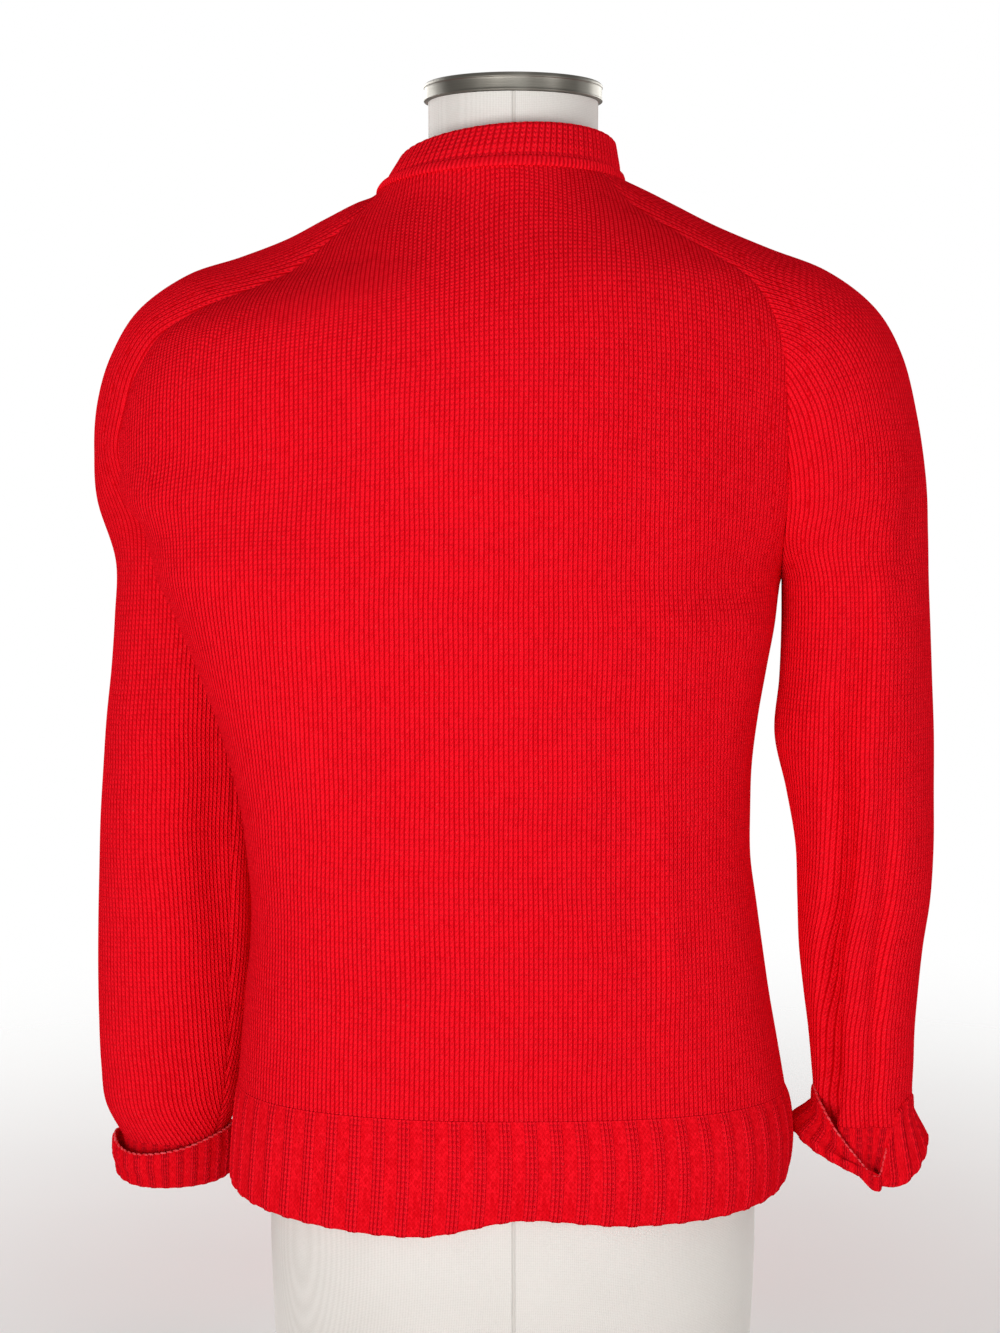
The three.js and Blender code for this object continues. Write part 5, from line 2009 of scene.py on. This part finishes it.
@dataclass
class DressForm:
    """The limbless form that the sweater hangs on, and the metal cap on its neck."""

    columns: int = 160
    cap_radius: float = 59.0
    cap_height: float = 12.0
    cap_steps: int = 6  # points between two rows of the cap's profile

    def build_torso(self, material: bpy.types.Material) -> bpy.types.Object:
        """Makes the torso: superellipses whose sizes follow the table of sections.

        Args:
            material: its finish.

        Returns:
            The torso.
        """
        base, trunk, shoulders = (0, 6, 4), (12, 740, 86), (744, NECK_TOP, 42)
        z = np.concatenate([np.linspace(*stretch) for stretch in (base, trunk, shoulders)])
        width, back, front, power = (
            FORM.at(name, z)[:, None] for name in ("width", "back", "front", "power")
        )
        turn = np.linspace(0.0, math.tau, self.columns + 1)[None]
        cosine = np.sign(np.cos(turn)) * np.abs(np.cos(turn)) ** (2 / power)
        sine = np.sign(np.sin(turn)) * np.abs(np.sin(turn)) ** (2 / power)
        x = width * cosine
        y = (back - front) / 2 + (back + front) / 2 * sine
        points = np.stack([x, y, np.broadcast_to(z[:, None], x.shape)], axis=-1)
        shell = Shell()
        ids = shell.add(points, np.zeros(x.shape + (2,)))
        shell.join(ids[:, 0], ids[:, -1])
        shell.strip(ids[:-1], ids[1:])
        middles = np.array([[0, 0, 0], [0, NECK_CENTRE_Y, NECK_TOP]], float)
        bottom, top = shell.add(middles, np.zeros((2, 2)))
        shell.cover(ids[0, ::-1], int(bottom))
        shell.cover(ids[-1], int(top))
        piece = shell.build("form_cover", 40.0)
        return place_piece(piece, ["form_torso"], material)

    def build_cap(self, material: bpy.types.Material) -> bpy.types.Object:
        """Makes the cap: a lathe profile turned round the neck's axis, with a rolled rim.

        Args:
            material: its finish.

        Returns:
            The cap.
        """
        r, h = self.cap_radius, self.cap_height
        profile = Table.of(
            "path radius height",
            (0, 0, 0),
            (1, r - 8, 0),
            (2, r - 1, 0.1),
            (3, r - 0.1, 1.0),
            (4, r - 0.5, 2.2),
            (5, r - 0.5, h - 4.2),
            (6, r, h - 3),
            (7, r - 0.6, h - 1.2),
            (8, r - 2.6, h - 0.2),
            (9, r - 8, h - 0.3),
            (10, r - 11, h - 0.9),
            (11, 0, h - 0.4),
        )
        last = len(profile.rows) - 1
        path = np.linspace(0.0, last, last * self.cap_steps + 1)
        radius = np.maximum(profile.at("radius", path), 0.0)[:, None]
        height = np.maximum(profile.at("height", path), 0.0)[:, None]
        turn = np.linspace(0.0, math.tau, self.columns + 1)[None]
        x, y = radius * np.cos(turn), NECK_CENTRE_Y + radius * np.sin(turn)
        z = np.broadcast_to(NECK_TOP + SEAM_GAP + height, x.shape)
        shell = Shell()
        ids = shell.add(np.stack([x, y, z], axis=-1), np.zeros(x.shape + (2,)))
        shell.join(ids[:, 0], ids[:, -1])
        for end in (0, -1):
            shell.join(np.repeat(ids[end, :1], self.columns), ids[end, 1:])
        shell.strip(ids[:-1], ids[1:])
        piece = shell.build("neck_cap_metal", 50.0, growth=0.0)
        return place_piece(piece, ["form_neck_cap"], material)


# ---- Garment ------------------------------------------------------------------------------------


@dataclass
class Sweater:
    """All the knitted pieces, whose seams are worked out together."""

    seam_depth: float = 0.8
    seam_width: float = 2.0
    taper: float = 26.0  # how far from a seam the folds reach their full depth
    free_below: float = 540.0  # height under which a sleeve's folds don't taper
    corner_drop: float = 8.0  # how strongly the normals of the underarm corner turn down
    bound: tuple[float, float] = (66.0, 250.0)  # angles of the right cuff's bound edge that show

    def fine_grids(self, grids: list[np.ndarray]) -> list[np.ndarray]:
        """Puts smooth rows between the coarse rows of the sleeves and the panels.

        Down to the underarm the rows are as far apart as on the mean of all four grids. Below
        it, each sleeve keeps its own distances and the panels share theirs.

        Args:
            grids: those of the left sleeve, the right sleeve, the back and the front.

        Returns:
            The finer grids.
        """
        gaps = [np.linalg.norm(np.diff(rows, axis=0), axis=2).mean(axis=1) for rows in grids]
        common = sum(gap[:UNDERARM] for gap in gaps) / len(gaps)
        lower = (gaps[2][UNDERARM:] + gaps[3][UNDERARM:]) / 2
        rests = [gaps[0][UNDERARM:], gaps[1][UNDERARM:], lower, lower]
        return [
            refine_rows(rows, np.concatenate([[0.0], np.cumsum(np.concatenate([common, rest]))]))
            for rows, rest in zip(grids, rests)
        ]

    def relief(self, cloth: Cloth, folds: np.ndarray) -> np.ndarray:
        """How far the cloth moves out: slow waves, less folds, less a groove at the seams."""
        groove = self.seam_depth * np.exp(-((cloth.from_seam / self.seam_width) ** 2))
        return soft_waves(cloth.points) - folds - groove

    def share_seams(self, left: Cloth, right: Cloth, back: Cloth, front: Cloth) -> None:
        """Gives the pieces common normals along the seams where they meet.

        Args:
            left: the left sleeve's grid.
            right: the right sleeve's.
            back: the back panel's.
            front: the front panel's.
        """
        head = slice(0, CORNER_ROW)
        corner = slice(CORNER_ROW, CORNER_ROW + 1)
        sides = slice(CORNER_ROW + 1, None)
        for sleeve, column in ((left, 0), (right, -1)):
            share_normals([Edge(sleeve, 0), Edge(back, column)], head)
            share_normals([Edge(sleeve, -1), Edge(front, column)], head)
            ends = [Edge(sleeve, 0), Edge(sleeve, -1), Edge(back, column), Edge(front, column)]
            share_normals(ends, corner, (0.0, 0.0, -self.corner_drop))
            share_normals([Edge(back, column), Edge(front, column)], sides)
        for cloth in (left, right, back, front):
            cloth.normals[-1, :, 2] = 0.0
            cloth.normals[-1] = unit(cloth.normals[-1])
            cloth.feather()

    def build_main(
        self, back: BackPanel, front: FrontPanel, material: bpy.types.Material
    ) -> list[bpy.types.Object]:
        """Makes the two sleeves and the two panels.

        Args:
            back: the back panel.
            front: the front panel.
            material: the smooth knit.

        Returns:
            The pieces.
        """
        left = Sleeve(Side.LEFT, LEFT_HEAD, LEFT_TUBE, LEFT_FOLDS, 146.0)
        right = Sleeve(Side.RIGHT, RIGHT_HEAD, RIGHT_TUBE, RIGHT_FOLDS, 180.0)
        left.lay_rows()
        right.lay_rows()
        panel_rows = [panel.lay_rows(left.rows, right.rows) for panel in (back, front)]
        fine = self.fine_grids([left.rows, right.rows, *panel_rows])
        tubes = [Cloth(grid, grid.mean(axis=1, keepdims=True), True) for grid in fine[:2]]
        walls = [Cloth(grid, grid * np.array([0, 0, 1]), False) for grid in fine[2:]]
        self.share_seams(*tubes, *walls)
        made = []
        for cloth, sleeve in zip(tubes, (left, right)):
            near = np.where(cloth.points[..., 2] < self.free_below, 1.0, cloth.from_seam / self.taper)
            cloth.move(self.relief(cloth, sleeve.pressed(cloth) * ease(near)))
            made.append(sleeve.build(cloth, material))
        for cloth, panel in zip(walls, (back, front)):
            folds = sum(crease.press(cloth.points) for crease in panel.creases)
            cloth.move(self.relief(cloth, folds * ease(cloth.from_seam / self.taper)))
            made.append(panel.build(cloth, material))
        return made

    def build(
        self,
        knit: bpy.types.Material,
        rib: bpy.types.Material,
        band: bpy.types.Material,
        bound: bpy.types.Material,
    ) -> list[bpy.types.Object]:
        """Makes every knitted piece.

        Args:
            knit: the smooth knit.
            rib: the ribs of the hem and the cuffs.
            band: the neckband's ribs.
            bound: the bound-off edges.

        Returns:
            The pieces.
        """
        back, front = BackPanel(), FrontPanel()
        made = self.build_main(back, front, knit)
        made.append(HemRib("back_hem_rib", back.body_row, 1).build(rib))
        made.append(HemRib("front_hem_rib", front.body_row, -1).build(rib))
        made.append(NeckBand().build(band))
        left = TurnedCuff(Side.LEFT, LEFT_TUBE, LEFT_CUFF, LEFT_CUFF_SECTION, LEFT_FOLDS)
        right = TurnedCuff(
            Side.RIGHT, RIGHT_TUBE, RIGHT_CUFF, RIGHT_CUFF_SECTION, RIGHT_FOLDS, self.bound
        )
        for cuff in (left, right):
            made += [cuff.build(rib), cuff.bound_edge(bound)]
        return made


# ---- Studio -------------------------------------------------------------------------------------


@dataclass(frozen=True)
class PaleFloor:
    """A pale floor that fades away from the form."""

    light: Colour = (0.86, 0.86, 0.85, 1.0)
    dark: Colour = (0.80, 0.80, 0.79, 1.0)
    fade: tuple[float, float] = (0.35, 1.6)  # metres from the middle

    def material(self) -> bpy.types.Material:
        """Faintly mottled, and clear at its rim.

        Returns:
            The material.
        """
        graph = FinishGraph("floor_pale")
        x, y, _ = graph.parts(graph.place())
        distance = (x * x + y * y) ** 0.5
        colour = graph.blend(graph.noise(graph.place(), 3.0), self.dark, self.light)
        shown = 1 - distance.step(*self.fade)
        return graph.finish(colour, None, 0.0, Roughness=0.7, Alpha=shown)


@dataclass(frozen=True)
class Softbox:
    """A large round lamp, in metres and watts."""

    place: tuple[float, float, float]
    size: float
    power: float

    def hang(self, name: str, aim: tuple[float, float, float]) -> None:
        """Puts the lamp in the scene.

        Args:
            name: its name.
            aim: the place that it is turned to.
        """
        data = bpy.data.lights.new(name, "AREA")
        data.shape = "DISK"
        data.size = self.size
        data.energy = self.power
        lamp = bpy.data.objects.new(name, data)
        lamp.location = self.place
        x, y, z = (float(to - here) for to, here in zip(aim, self.place))
        tilt = math.atan2(math.hypot(x, y), -z)
        lamp.rotation_euler = (tilt, 0.0, math.atan2(y, x) - math.pi / 2)
        bpy.context.scene.collection.objects.link(lamp)


@dataclass
class Studio:
    """A pale floor, soft lights and the camera."""

    floor_radius: float = 3000.0
    floor_drop: float = 0.5  # under the form's base
    rings: int = 24
    spokes: int = 96
    sky: Colour = (1.0, 0.99, 0.98, 1.0)
    sky_strength: float = 0.34
    backdrop: Colour = (1.0, 1.0, 1.0, 1.0)
    camera_place: tuple[float, float, float] = (0.0087, 1.62, 0.64)
    camera_down: float = 5.15  # degrees
    lens: float = 65.63
    aim: tuple[float, float, float] = (0.0, 0.0, 0.5)  # the middle of the sweater
    lamps: tuple[Softbox, ...] = (
        Softbox((0.9, 2.3, 0.1), 1.5, 46.0),
        Softbox((-2.0, 1.8, 0.4), 1.6, 17.0),
        Softbox((1.5, -1.9, 1.3), 1.6, 36.0),
        Softbox((-1.6, -1.7, 1.1), 1.6, 22.0),
        Softbox((0.4, 0.3, 2.9), 1.6, 1.5),
    )

    def floor(self, material: bpy.types.Material) -> None:
        """A disc under the form.

        Args:
            material: its finish.
        """
        shell = Shell()
        turn = np.linspace(0.0, math.tau, self.spokes + 1)[None]
        radius = np.linspace(0.0, self.floor_radius, self.rings + 1)[:, None]
        x, y = radius * np.cos(turn), radius * np.sin(turn)
        points = np.stack([x, y, np.full(x.shape, -self.floor_drop)], axis=-1)
        ids = shell.add(points, np.zeros(x.shape + (2,)))
        shell.join(ids[:, 0], ids[:, -1])
        shell.join(np.repeat(ids[0, :1], self.spokes), ids[0, 1:])
        shell.strip(ids[1:], ids[:-1])
        made = shell.build("floor", growth=0.0)
        made.data.flip_normals()
        made.data.materials.append(material)
        made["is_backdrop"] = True

    def world(self) -> None:
        """A soft sky that the camera sees as white."""
        world = bpy.data.worlds.new("studio")
        world.use_nodes = True
        world.node_tree.nodes.clear()
        graph = Graph(world.node_tree)
        lit = {"Color": self.sky, "Strength": self.sky_strength}
        light = graph.sock("ShaderNodeBackground", None, lit)
        seen = graph.sock("ShaderNodeBackground", None, {"Color": self.backdrop})
        to_camera = graph.sock("ShaderNodeLightPath", output="Is Camera Ray")
        mix = graph.sock("ShaderNodeMixShader", None, {0: to_camera, 1: light, 2: seen})
        graph.node("ShaderNodeOutputWorld", None, {0: mix})
        bpy.context.scene.world = world

    def light_up(self) -> None:
        """Hangs the lamps."""
        for n, lamp in enumerate(self.lamps):
            lamp.hang(f"softbox_{n}", self.aim)

    def camera(self) -> None:
        """The camera behind the sweater, a little above its middle."""
        data = bpy.data.cameras.new("camera")
        data.lens = self.lens
        data.sensor_width = 36.0
        data.clip_end = 50.0
        made = bpy.data.objects.new("camera", data)
        made.location = self.camera_place
        made.rotation_euler = (math.radians(90 - self.camera_down), 0.0, math.radians(180))
        bpy.context.scene.collection.objects.link(made)
        bpy.context.scene.camera = made


def corners() -> list[list[float]]:
    """The lowest and the highest corner of what is shown."""
    return [[float(value) for value in corner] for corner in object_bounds()]


def main() -> None:
    """Builds the pieces in order."""
    logging.basicConfig(level=logging.INFO, format="%(message)s")
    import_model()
    studio = Studio()
    studio.camera()
    studio.world()
    studio.light_up()
    studio.floor(PaleFloor().material())
    band = RibKnit("red_band_knit", ridge=(0.0, 1.0), ridge_wales=2, link=(0.0, 0.0085))
    pieces = Sweater().build(
        SmoothKnit().material(),
        RibKnit("red_rib_knit").material(),
        band.material(),
        BoundEdge().material(),
    )
    form = DressForm()
    pieces.append(form.build_torso(FormCover().material()))
    pieces.append(form.build_cap(BrushedCap().material()))
    for piece in pieces:
        log.info("%s: %d triangles", piece.name, len(piece.data.polygons))
    bpy.context.scene.view_settings.view_transform = "Standard"
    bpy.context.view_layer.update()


if __name__ == "__main__":
    main()
